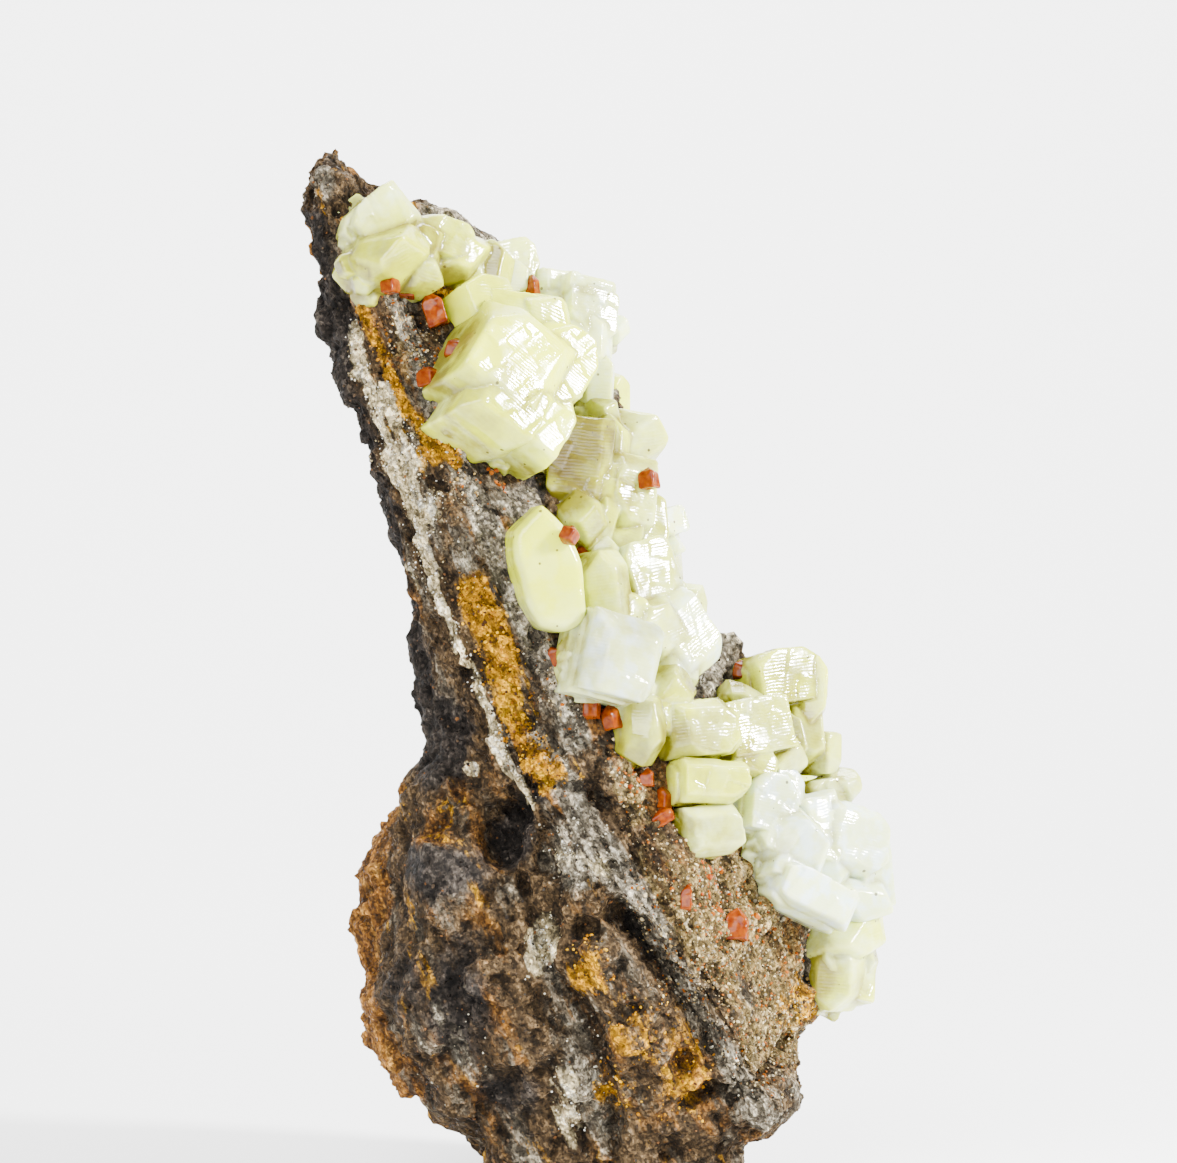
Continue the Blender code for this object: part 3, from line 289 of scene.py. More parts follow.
def rock_relief(grid, normal):
    """Sum of the swells and facets, less each crack's square-root groove, plus each lump's parabola, and on
    the crest plus each lift's."""
    x, z = grid[..., 0], grid[..., 2]
    relief = sum(height * smooth_noise(grid, pitch, seed) for height, pitch, seed in SWELLS) - RELIEF_SINK
    relief += sum(steepness * broken_facets(grid, pitch, seed) for steepness, pitch, seed in FACETS)
    facing_front = np.clip(-normal[..., 1] / FRONT_FACING, 0, 1)
    raggedness, pitch, seed = CRACK_RAGGEDNESS
    for depth, half_width, path in CRACKS:
        distance = distance_to_path(x, z, path) + raggedness * smooth_noise(grid, pitch, seed)
        relief -= depth * facing_front * np.sqrt(np.clip(1 - distance / half_width, 0, 1))
    for cx, cz, across, up, height in FRONT_RELIEF:
        share = ((x - cx) / across) ** 2 + ((z - cz) / up) ** 2
        relief += height * facing_front * np.clip(1 - share, 0, 1)
    for cx, cz, across, up, height in CREST_LIFTS:
        share = ((x - cx) / across) ** 2 + ((z - cz) / up) ** 2
        behind = np.clip((grid[..., 1] + CREST_DEPTH) / CREST_DEPTH, 0, 1)
        relief += height * np.clip(1 - share, 0, 1) * behind
    return relief * np.clip((ROCK_HEIGHT + 0.3 * TIP_FADE - z) / TIP_FADE, 0, 1)


def fine_relief(grid, normal):
    """Small swells and chips, less on the smooth dome, plus a saw wave of the distance across the layered
    band, which makes its fine steps."""
    x, z = grid[..., 0], grid[..., 2]
    relief = sum(height * smooth_noise(grid, pitch, seed) for height, pitch, seed in FINE_SWELLS)
    relief += sum(steepness * broken_facets(grid, pitch, seed) for steepness, pitch, seed in FINE_FACETS)
    relief -= FINE_SINK
    cx, cz, radius_across, radius_up, taken = SMOOTH_DOME
    dome = np.clip(1 - ((x - cx) / radius_across) ** 2 - ((z - cz) / radius_up) ** 2, 0, 1)
    relief *= 1 - taken * np.sqrt(dome * (normal[..., 1] < 0))
    (ax, az), (bx, bz) = LAYER_PATH[0], LAYER_PATH[-1]
    length = np.hypot(bx - ax, bz - az)
    across = ((x - ax) * (bz - az) - (z - az) * (bx - ax)) / length
    wander, pitch, seed = LAYER_WANDER
    layer = across / LAYER_PITCH + wander * smooth_noise(grid, pitch, seed)
    saw = layer - np.floor(layer)
    share = np.clip(1 - distance_to_path(x, z, LAYER_PATH) / LAYER_HALF_WIDTH, 0, 1) * (normal[..., 1] < -0.3)
    return relief + LAYER_HEIGHT * share ** 0.5 * (saw - 0.5)


def rock_surface():
    """Straight sides between the corner lines, corners rounded by averaging neighbours, then the relief
    along the surface's own normals, coarse first and fine second."""
    heights = np.linspace(0.0, ROCK_HEIGHT, ROCK_ROWS)
    corners = corner_positions(heights)
    ring = []
    for k, columns in enumerate(SIDE_COLUMNS):
        share = (np.arange(columns) / columns)[None, :, None]
        ring.append(corners[:, k, None] * (1 - share) + corners[:, (k + 1) % len(SIDE_COLUMNS), None] * share)
    xy = np.concatenate(ring, axis=1)
    spacing = np.linalg.norm(np.roll(xy, -1, axis=1) - xy, axis=-1).mean()
    for _ in range(int(round((CORNER_ROUNDING / spacing) ** 2))):
        xy = (np.roll(xy, 1, axis=1) + 2 * xy + np.roll(xy, -1, axis=1)) / 4
    grid = np.dstack([xy, np.broadcast_to(heights[:, None], xy.shape[:2])])
    normal = grid_normals(grid)
    plain = grid
    relief = rock_relief(grid, normal)
    for _ in range(RELIEF_SOFTENING):
        relief = (np.roll(relief, 1, axis=1) + 2 * relief + np.roll(relief, -1, axis=1)) / 4
        relief[1:-1] = (relief[:-2] + 2 * relief[1:-1] + relief[2:]) / 4
    grid = grid + normal * relief[..., None]
    normal = grid_normals(grid)
    grid = grid + normal * fine_relief(grid, normal)[..., None]
    grid[..., 2] = np.maximum(grid[..., 2], 0.0)
    grid[0, :, 2] = 0.0
    return grid, plain


def painted_relief_shade_share(grid, plain):
    """Where the surface stands above or below its own neighbourhood: 0.5 + (height - mean height) / depth,
    which sets the painted shade in hollows and the painted light on raised parts.
    """
    offset = grid - plain
    height = np.linalg.norm(offset, axis=-1) * np.sign((offset * grid_normals(plain)).sum(axis=-1))
    mean = height
    for _ in range(HOLLOW_PASSES):
        mean = (np.roll(mean, 1, axis=1) + 2 * mean + np.roll(mean, -1, axis=1)) / 4
        mean[1:-1] = (mean[:-2] + 2 * mean[1:-1] + mean[2:]) / 4
    return np.clip(0.5 + (height - mean) / HOLLOW_DEPTH, 0, 1)


def zone_share(grid, patches=(), paths=()):
    """How much of a mineral there is, from 0 to 1: soft ellipses and bands drawn in the front view, on the
    part of the rock that faces it."""
    x, y, z = grid[..., 0], grid[..., 1], grid[..., 2]
    share = np.zeros(x.shape)
    for cx, cz, across, up, lean, strength in patches:
        turn = np.radians(lean)
        u = (x - cx) * np.cos(turn) - (z - cz) * np.sin(turn)
        v = (x - cx) * np.sin(turn) + (z - cz) * np.cos(turn)
        near = np.clip(ZONE_FALL * (1 - np.hypot(u / across, v / up)), 0, 1)
        share = np.maximum(share, ZONE_STRENGTH * strength * near)
    for half_width, path in paths:
        near = np.clip(ZONE_FALL * (1 - distance_to_path(x, z, path) / half_width), 0, 1)
        share = np.maximum(share, ZONE_STRENGTH * near)
    return share * np.clip((ZONE_END - y) / ZONE_END_FADE, 0, 1)


def mesh_piece(name, points, faces, attributes=None):
    """A mesh object from points in millimetres, with colour attributes on its points."""
    mesh = bpy.data.meshes.new(name)
    mesh.from_pydata((points + FRAME_SHIFT) * MM, [], faces)
    for key, values in (attributes or {}).items():
        layer = mesh.attributes.new(key, "FLOAT_COLOR", "POINT")
        padded = np.ones((len(points), 4))
        padded[:, :values.shape[1]] = values
        layer.data.foreach_set("color", padded.ravel())
    mesh.update()
    piece = bpy.data.objects.new(name, mesh)
    bpy.context.scene.collection.objects.link(piece)
    return piece


def tube_faces(rows, columns):
    """Four-cornered faces of a grid that closes round, rows upward."""
    i, j = np.meshgrid(np.arange(rows - 1), np.arange(columns), indexing="ij")
    k = (j + 1) % columns
    low, high = i * columns, (i + 1) * columns
    quads = np.stack([low + j, low + k, high + k, high + j], axis=-1)
    return quads.reshape(-1, 4).tolist()


def end_faces(start, columns, middle, upward):
    """Triangles from a ring's points to one middle point."""
    j = np.arange(columns)
    ring = np.stack([start + j, start + (j + 1) % columns, np.full(columns, middle)], axis=-1)
    return (ring if upward else ring[:, ::-1]).tolist()


rock_grid, rock_plain = rock_surface()
rows, columns = rock_grid.shape[:2]
rock_points = np.vstack([rock_grid.reshape(-1, 3), rock_grid[0].mean(axis=0), rock_grid[-1].mean(axis=0)])
rock_faces = tube_faces(rows, columns)
rock_faces += end_faces(0, columns, rows * columns, False)
rock_faces += end_faces((rows - 1) * columns, columns, rows * columns + 1, True)
plain_points = np.vstack([rock_plain.reshape(-1, 3), rock_points[-2:]])
rock_zones = {
    "dark": zone_share(plain_points, DARK_AND_SHADED_PATCHES, DARK_AND_SHADED_PATHS),
    "rust": zone_share(plain_points, (), RUST_PATHS),
    "ochre": zone_share(plain_points, OCHRE_PATCHES, OCHRE_PATHS),
    "chalk": zone_share(plain_points, CHALK_PATCHES, CHALK_PATHS),
    "grey": zone_share(plain_points, GREY_PATCHES, GREY_PATHS),
    "tan": zone_share(plain_points, TAN_PATCHES),
}
hollows = painted_relief_shade_share(rock_grid, rock_plain).ravel()
# The hollow share paints shade into hollows and light onto raised parts.
rock_zones["hollow"] = np.concatenate([hollows, (0.5, 0.5)])
# The rock's layers run steeply down to the right. This is each point's place across and along them, drawn
# together along them so that the patterns read from it come out as streaks.
LAYER_RUN = (0.43, -0.90)
LAYER_SQUEEZE = 0.27
across_layers = rock_points[:, 2] * LAYER_RUN[0] - rock_points[:, 0] * LAYER_RUN[1]
along_layers = rock_points[:, 0] * LAYER_RUN[0] + rock_points[:, 2] * LAYER_RUN[1]
layer_place = np.stack([across_layers, rock_points[:, 1], along_layers * LAYER_SQUEEZE], axis=-1)
# The stains attribute holds the dark, rust and ochre stains, the dark one with painted shade in the cave and
# crack, and in its last channel the painted shade and light of the hollows.
gossan = mesh_piece("gossan_rock_surface", rock_points, rock_faces, {
    "layer_place": layer_place,
    "stains_and_painted_shade": np.stack([rock_zones[zone] for zone in ("dark", "rust", "ochre", "hollow")], axis=-1),
    "crusts": np.stack([rock_zones[zone] for zone in ("chalk", "grey", "tan")], axis=-1),
})


def feed(tree, node, inputs):
    """A value or a link for each input named."""
    for key, value in inputs.items():
        if isinstance(value, bpy.types.NodeSocket):
            tree.links.new(value, node.inputs[key])
        else:
            node.inputs[key].default_value = value


def add_node(tree, kind, inputs=None, **settings):
    """One shader node, with its settings and with a value or a link for each input named."""
    node = tree.nodes.new("ShaderNode" + kind)
    for key, value in settings.items():
        setattr(node, key, value)
    feed(tree, node, inputs or {})
    return node


def mix_colours(tree, share, first, second, blend="MIX"):
    """The second colour over the first, by a share from 0 to 1."""
    node = add_node(tree, "Mix", {0: share, 6: first, 7: second}, data_type="RGBA", blend_type=blend)
    return node.outputs[2]


def arithmetic(tree, operation, *values, clamp=False):
    """A Math node's output."""
    return add_node(tree, "Math", dict(enumerate(values)), operation=operation, use_clamp=clamp).outputs[0]


def new_group(name, inputs, outputs):
    """An empty node group with named sockets: (name, kind, default) going in, (name, kind) coming out."""
    group = bpy.data.node_groups.new(name, "ShaderNodeTree")
    for socket, kind, default in inputs:
        made = group.interface.new_socket(socket, in_out="INPUT", socket_type="NodeSocket" + kind)
        if default is not None:
            made.default_value = default
    for socket, kind in outputs:
        group.interface.new_socket(socket, in_out="OUTPUT", socket_type="NodeSocket" + kind)
    return group, group.nodes.new("NodeGroupInput").outputs, group.nodes.new("NodeGroupOutput").inputs


def use_group(tree, group, inputs):
    """A group placed in a material, with its own values."""
    node = tree.nodes.new("ShaderNodeGroup")
    node.node_tree = group
    feed(tree, node, inputs)
    return node.outputs


def new_material(name):
    """A material with its node tree and its shader."""
    material = bpy.data.materials.new(name)
    material.use_nodes = True
    return material, material.node_tree, material.node_tree.nodes["Principled BSDF"]


def ragged_edge_group():
    """Turns a soft share into a patch with a broken border: share + (noise - 0.5) x raggedness, steepened."""
    group, given, result = new_group(
        "ragged_edge",
        (("Share", "Float", 0.0), ("Place", "Vector", None), ("Grain", "Float", 1.5),
         ("Raggedness", "Float", 1.0)),
        (("Mask", "Float"),),
    )
    noise = add_node(group, "TexNoise", {"Vector": given["Place"], "Scale": given["Grain"], "Detail": 5.0,
                                         "Roughness": 0.7})
    sway = arithmetic(group, "SUBTRACT", noise.outputs[0], 0.5)
    sway = arithmetic(group, "MULTIPLY", sway, given["Raggedness"])
    present = arithmetic(group, "MULTIPLY", given["Share"], 6.0, clamp=True)
    raised = arithmetic(group, "ADD", given["Share"], arithmetic(group, "MULTIPLY", sway, present))
    steep = add_node(group, "MapRange", {"Value": raised, "From Min": 0.26, "From Max": 0.54}, clamp=True)
    group.links.new(steep.outputs[0], result["Mask"])
    return group


def mineral_speckle_group():
    """Fine light and dark grains: a random value per cell at two sizes, spread round 1 by the contrast, and a
    mark on one small cell in fourteen."""
    group, given, result = new_group(
        "mineral_speckle",
        (("Place", "Vector", None), ("Grain", "Float", 4500.0), ("Contrast", "Float", 1.0)),
        (("Shade", "Float"), ("Glint", "Float")),
    )
    small = add_node(group, "TexVoronoi", {"Vector": given["Place"], "Scale": given["Grain"]})
    coarse = add_node(group, "TexVoronoi", {"Vector": given["Place"],
                                            "Scale": arithmetic(group, "MULTIPLY", given["Grain"], 0.42)})
    small_value = add_node(group, "SeparateColor", {0: small.outputs["Color"]})
    coarse_value = add_node(group, "SeparateColor", {0: coarse.outputs["Color"]})
    both = arithmetic(group, "MULTIPLY", small_value.outputs[0], 0.6)
    both = arithmetic(group, "ADD", both, arithmetic(group, "MULTIPLY", coarse_value.outputs[1], 0.4))
    spread = arithmetic(group, "MULTIPLY", arithmetic(group, "SUBTRACT", both, 0.5), given["Contrast"])
    shade = arithmetic(group, "POWER", 2.0, arithmetic(group, "MULTIPLY", spread, 3.0))
    glint = arithmetic(group, "GREATER_THAN", small_value.outputs[2], 0.93)
    group.links.new(shade, result["Shade"])
    group.links.new(glint, result["Glint"])
    return group


def mottled_mineral_group():
    """Three tones of one mineral, mixed by a broken noise: deep below its middle and pale above it."""
    group, given, result = new_group(
        "mottled_mineral",
        (("Place", "Vector", None), ("Grain", "Float", 1.0), ("Shift", "Float", 0.0),
         ("Deep", "Color", None), ("Middle", "Color", None), ("Pale", "Color", None)),
        (("Colour", "Color"),),
    )
    noise = add_node(group, "TexNoise", {"Vector": given["Place"], "Scale": given["Grain"], "Detail": 8.0,
                                         "Roughness": 0.78})
    value = arithmetic(group, "ADD", noise.outputs[0], given["Shift"])
    low = add_node(group, "MapRange", {"Value": value, "From Min": 0.36, "From Max": 0.52}, clamp=True)
    high = add_node(group, "MapRange", {"Value": value, "From Min": 0.52, "From Max": 0.68}, clamp=True)
    colour = mix_colours(group, low.outputs[0], given["Deep"], given["Middle"])
    colour = mix_colours(group, high.outputs[0], colour, given["Pale"])
    group.links.new(colour, result["Colour"])
    return group


ragged_edge = ragged_edge_group()
mineral_speckle = mineral_speckle_group()
mottled_mineral = mottled_mineral_group()

# Each mineral's deep, middle and pale tones.
GOSSAN_TONES = ((0.012, 0.007, 0.003, 1), (0.048, 0.030, 0.014, 1), (0.150, 0.098, 0.048, 1))
# Dark iron oxide, also laid as painted shade in the cave, under the ledge and along the big crack.
DARK_AND_SHADE_TONES = ((0.006, 0.005, 0.004, 1), (0.020, 0.016, 0.013, 1), (0.052, 0.043, 0.034, 1))
RUST_TONES = ((0.036, 0.014, 0.004, 1), (0.160, 0.066, 0.010, 1), (0.360, 0.190, 0.045, 1))
OCHRE_TONES = ((0.045, 0.018, 0.001, 1), (0.360, 0.165, 0.000, 1), (0.700, 0.390, 0.000, 1))
CHALK_TONES = ((0.130, 0.098, 0.048, 1), (0.520, 0.430, 0.240, 1), (0.920, 0.890, 0.780, 1))
GREY_TONES = ((0.026, 0.021, 0.014, 1), (0.145, 0.122, 0.085, 1), (0.530, 0.485, 0.375, 1))
TAN_TONES = ((0.030, 0.018, 0.006, 1), (0.145, 0.100, 0.034, 1), (0.420, 0.330, 0.160, 1))


def gossan_material():
    """Brown-black iron oxide with each stain and crust laid over it by its own mask, the dark one with
    painted shade in the cave, under the ledge and along the big crack, speckled all over, then painted shade
    in the hollows and painted light on raised parts.
    """
    material, tree, shader = new_material("gossan_iron_oxide")
    place = add_node(tree, "TexCoord").outputs["Object"]
    layers = add_node(tree, "Attribute", attribute_name="layer_place").outputs["Vector"]
    given = add_node(tree, "Attribute", attribute_name="stains_and_painted_shade")
    stains_and_painted_shade = add_node(tree, "SeparateColor", {0: given.outputs["Color"]})
    crusts = add_node(tree, "Attribute", attribute_name="crusts").outputs[0]
    crusts = add_node(tree, "SeparateColor", {0: crusts})

    def mottle(tones, grain, shift=0.0):
        inputs = {"Place": layers, "Grain": grain, "Shift": shift, "Deep": tones[0], "Middle": tones[1],
                  "Pale": tones[2]}
        return use_group(tree, mottled_mineral, inputs)["Colour"]

    def noise(scale, low, high, vector=place, detail=6.0):
        value = add_node(tree, "TexNoise", {"Vector": vector, "Scale": scale, "Detail": detail,
                                            "Roughness": 0.7}).outputs[0]
        inputs = {"Value": value, "From Min": low, "From Max": high}
        return add_node(tree, "MapRange", inputs, clamp=True).outputs[0]

    colour = mottle(GOSSAN_TONES, 1.3)
    colour = mix_colours(tree, noise(0.45, 0.53, 0.63, layers), colour, mottle(GREY_TONES, 1.9, -0.07))
    colour = mix_colours(tree, noise(0.33, 0.54, 0.62, layers, 9.0), colour, mottle(RUST_TONES, 1.6, -0.03))
    colour = mix_colours(tree, noise(0.62, 0.60, 0.65, layers, 9.0), colour, mottle(OCHRE_TONES, 1.4))
    for share, grain, raggedness, tones, mottling in (
        (stains_and_painted_shade.outputs[0], 0.5, 1.3, DARK_AND_SHADE_TONES, 1.5),
        (stains_and_painted_shade.outputs[1], 0.5, 2.2, RUST_TONES, 1.6),
        (crusts.outputs[2], 0.6, 1.8, TAN_TONES, 1.9),
        (crusts.outputs[1], 0.6, 2.2, GREY_TONES, 2.2),
        (stains_and_painted_shade.outputs[2], 0.60, 3.4, OCHRE_TONES, 1.1),
        (crusts.outputs[0], 0.8, 2.8, CHALK_TONES, 1.8),
    ):
        mask = use_group(tree, ragged_edge, {"Share": share, "Place": layers, "Grain": grain,
                                             "Raggedness": raggedness})["Mask"]
        colour = mix_colours(tree, mask, colour, mottle(tones, mottling))
    speckle = use_group(tree, mineral_speckle, {"Place": place, "Grain": 7200.0, "Contrast": 1.25})
    shade = arithmetic(tree, "ADD", noise(3600.0, 0.3, 0.7), 0.5)
    shade = arithmetic(tree, "MULTIPLY", speckle["Shade"], shade)
    colour = mix_colours(tree, 1.0, colour, shade, "MULTIPLY")
    # Painted shade and painted light: the colour is darkened in the hollows and lightened on raised parts.
    relief = add_node(tree, "MapRange", {"Value": given.outputs["Alpha"], "From Min": 0.15, "From Max": 0.85,
                                         "To Min": 0.45, "To Max": 1.42}, clamp=True).outputs[0]
    colour = mix_colours(tree, 1.0, colour, relief, "MULTIPLY")
    tree.links.new(colour, shader.inputs["Base Color"])
    rough = arithmetic(tree, "SUBTRACT", 0.82, arithmetic(tree, "MULTIPLY", speckle["Glint"], 0.5))
    rough = arithmetic(tree, "SUBTRACT", rough, arithmetic(tree, "MULTIPLY", stains_and_painted_shade.outputs[0], 0.22))
    tree.links.new(rough, shader.inputs["Roughness"])
    shader.inputs["Specular IOR Level"].default_value = 0.1
    height = arithmetic(tree, "MULTIPLY", noise(2100.0, 0.0, 1.0), 2.2)
    height = arithmetic(tree, "ADD", noise(6000.0, 0.0, 1.0), height)
    bump = add_node(tree, "Bump", {"Height": height, "Strength": 1.0, "Distance": 0.00021})
    tree.links.new(bump.outputs[0], shader.inputs["Normal"])
    return material


gossan.data.materials.append(gossan_material())
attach(gossan, "root")
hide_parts("gossan_rock")

# The cerussite. Lead carbonate that grew in the cavity as blocky, six-sided and flat crystals, milky and pale
# yellow-green to white, with waxy edges and an almost metallic shine. Neighbours have grown together, and all
# are rooted in the wall. Each crystal is a rounded form of the solid that carries it in the frame.
#
# Each row is one crystal: its place across and up the front view (x, z), how far its middle stands out of the
# cavity wall (rise), its half sizes (across, deep, up), its lean, turn to the right and tip upward in
# degrees, and its form. Crystals that share a group have grown together.
CRYSTAL_GROUPS = {
    "cerussite_great_crystal": (
        (-4.75, 39.9, 1.7, (2.59, 2.72, 2.6), 38, 32, 14, "block"),
        (-5.1, 38.3, 1.5, (1.85, 2.1, 1.95), 38, 32, 14, "block"),
        (-2.75, 40.1, 1.8, (1.59, 2.42, 1.96), 38, 32, 14, "block"),
        (-3.75, 37.3, 1.6, (1.59, 2.2, 1.75), 38, 32, 14, "block"),
        (-2.95, 42.6, 1, (1.49, 1.87, 1.33), 20, 20, 18, "lump"),
    ),
    "cerussite_pentagon_crystal": (
        (-5.95, 43.35, 1.3, (1.5, 1.7, 1.35), 0, 33, 19, "pentagon"),
    ),
    "cerussite_crown_cluster": (
        (-10.7, 47.45, 0.9, (1.6, 1.7, 1.30), -38, 20, 12, "block"),
        (-10.3, 45.65, 1, (1.98, 2.08, 1.43), -25, 25, 5, "lump"),
        (-7.95, 46.45, 0.9, (1.55, 1.65, 1.0), 22, 25, 18, "block"),
        (-7, 45.75, 1.1, (1.71, 1.8, 1.27), -28, 28, 10, "lump"),
        (-5.5, 45.3, 0.9, (1.21, 1.32, 1.22), 20, 30, 10, "prism"),
    ),
    "cerussite_crest_pair": (
        (-4.35, 45.75, 0.4, (1.0, 1.25, 1.1), -10, 30, 12, "block"),
        (-4.2, 44.75, 0.7, (0.9, 1.3, 0.95), 10, 35, 8, "prism"),
    ),
    "cerussite_striped_stack": (
        (-2.4, 44.8, 0.5, (0.85, 1.1, 0.6), 5, 30, 10, "block"),
        (-0.75, 44.25, 0.5, (1.35, 1.45, 0.58), 12, 30, 12, "block"),
        (-0.75, 43.1, 0.7, (1.32, 1.54, 1.17), 8, 30, 10, "block"),
        (-0.55, 41.7, 0.7, (1.16, 1.54, 1.22), 6, 32, 6, "prism"),
        (0.55, 42.55, 0.1, (0.75, 1.2, 0.9), -15, 40, 5, "lump"),
    ),
    "cerussite_side_sliver": (
        (-0.25, 39.75, 0.7, (0.83, 1.43, 1.54), 4, 42, 0, "prism"),
    ),
    "cerussite_honey_cluster": (
        (-0.95, 35.9, 1, (1.54, 1.65, 2.12), 6, 8, -4, "block"),
        (0.15, 38, 0.8, (0.88, 1.32, 0.9), 12, 30, 14, "lump"),
        (1.7, 36.85, 0.9, (1.5, 1.75, 1.65), -8, 30, 4, "lump"),
        (1.25, 34.3, 1.1, (1.26, 1.65, 1.8), 8, 34, 4, "block"),
        (2.05, 32.7, 0.9, (1.26, 1.65, 1.85), 10, 38, 8, "lump"),
        (-0.75, 33, 0.9, (1.1, 1.32, 1.33), -6, 22, 0, "lump"),
        (0.25, 32.5, 1.5, (0.66, 1.1, 1.38), 18, 2, 14, "prism"),
    ),
    "cerussite_rim_pair": (
        (3.35, 32.85, 0.4, (0.85, 1.15, 0.68), -12, 40, 10, "block"),
        (3.4, 31.65, 0.4, (0.85, 1.15, 0.68), -6, 36, 0, "lump"),
    ),
    "cerussite_yellow_tablet": (
        (-2.45, 30.45, 1.4, (1.74, 1.5, 3.0), 0, 10, 2, "oval"),
    ),
    "cerussite_waist_cluster": (
        (0.25, 29.45, 1.1, (1.2, 1.6, 1.9), -6, 26, 4, "prism"),
        (2.0, 29.9, 1.1, (1.6, 2.0, 1.75), -12, 34, 12, "block"),
        (0.85, 26.3, 1.6, (1.76, 1.85, 1.91), 15, 22, 2, "block"),
        (-0.95, 26.6, 0.7, (0.61, 0.88, 1.59), 11, 18, 0, "prism"),
        (3.75, 27.05, 1.4, (1.5, 1.7, 1.95), -32, 34, 12, "block"),
        (2.35, 27.5, 0.8, (1.75, 1.9, 1.85), -20, 36, 4, "lump"),
    ),
    "cerussite_lower_step": (
        (2.2, 22.8, 1.1, (1.1, 1.32, 1.59), 4, 22, 0, "lump"),
        (3.25, 24.4, 0.9, (1.49, 1.56, 1.22), -28, 28, 8, "lump"),
        (4.65, 22.7, 1.3, (1.65, 1.73, 1.33), -4, 28, 8, "block"),
        (1.95, 24.35, 1.4, (0.42, 0.6, 1.0), 55, 20, 10, "prism"),
    ),
    "cerussite_square_block": (
        (5.25, 20.15, 1.2, (1.65, 1.7, 1.05), 3, 24, 6, "block"),
    ),
    "cerussite_milky_block": (
        (5.3, 17.85, 1.1, (1.4, 1.45, 1.25), -5, 22, 4, "block"),
    ),
    "cerussite_fan_cluster": (
        (8.8, 25.0, 0.5, (1.75, 1.9, 1.3), -6, 30, 10, "block"),
        (10.4, 24.4, 0.4, (0.75, 1.5, 1.65), 10, 38, 6, "prism"),
        (10.0, 22.4, 0.6, (1.2, 1.6, 1.85), 14, 34, 4, "lump"),
        (11.1, 21.4, 0.2, (0.65, 1.2, 1.05), 4, 40, 0, "block"),
    ),
    "cerussite_ridge_cluster": (
        (7.3, 22.6, 1.3, (1.76, 1.85, 1.33), -8, 28, 10, "block"),
        (7.75, 23.7, 0.8, (0.66, 1.32, 1.8), -62, 28, 6, "prism"),
        (8.75, 20.9, 1.1, (1.49, 1.56, 1.22), -18, 30, 6, "lump"),
    ),
    "cerussite_right_lumps": (
        (12.05, 19.55, 0.3, (0.95, 1.25, 1.0), 8, 40, 8, "lump"),
        (11.15, 19, 0.6, (1.16, 1.32, 1.01), -6, 34, 4, "block"),
    ),
    "cerussite_white_mass": (
        (8.25, 18.9, 1.1, (1.26, 1.43, 1.38), 12, 28, 8, "block"),
        (9.55, 16.95, 1.4, (1.76, 1.85, 1.85), -18, 28, 8, "lump"),
        (12.0, 16.95, 1, (1.85, 1.95, 1.7), 16, 34, 10, "block"),
        (13.1, 15.4, 0.3, (1.15, 1.5, 1.75), -4, 44, 4, "block"),
        (10.1, 14.65, 1.3, (2.2, 2.31, 1.01), 24, 26, -4, "block"),
        (12.5, 14.2, 0.9, (1.93, 2.03, 1.27), 8, 34, 0, "lump"),
    ),
    "cerussite_foot_cluster": (
        (12.35, 12.3, 0.8, (2.0, 2.1, 1.3), -10, 32, 4, "lump"),
        (11.75, 10.2, 0.9, (1.43, 1.5, 1.59), 4, 28, 0, "prism"),
        (12.75, 10.1, 0.4, (0.8, 1.3, 1.15), 12, 40, 6, "block"),
    ),
}

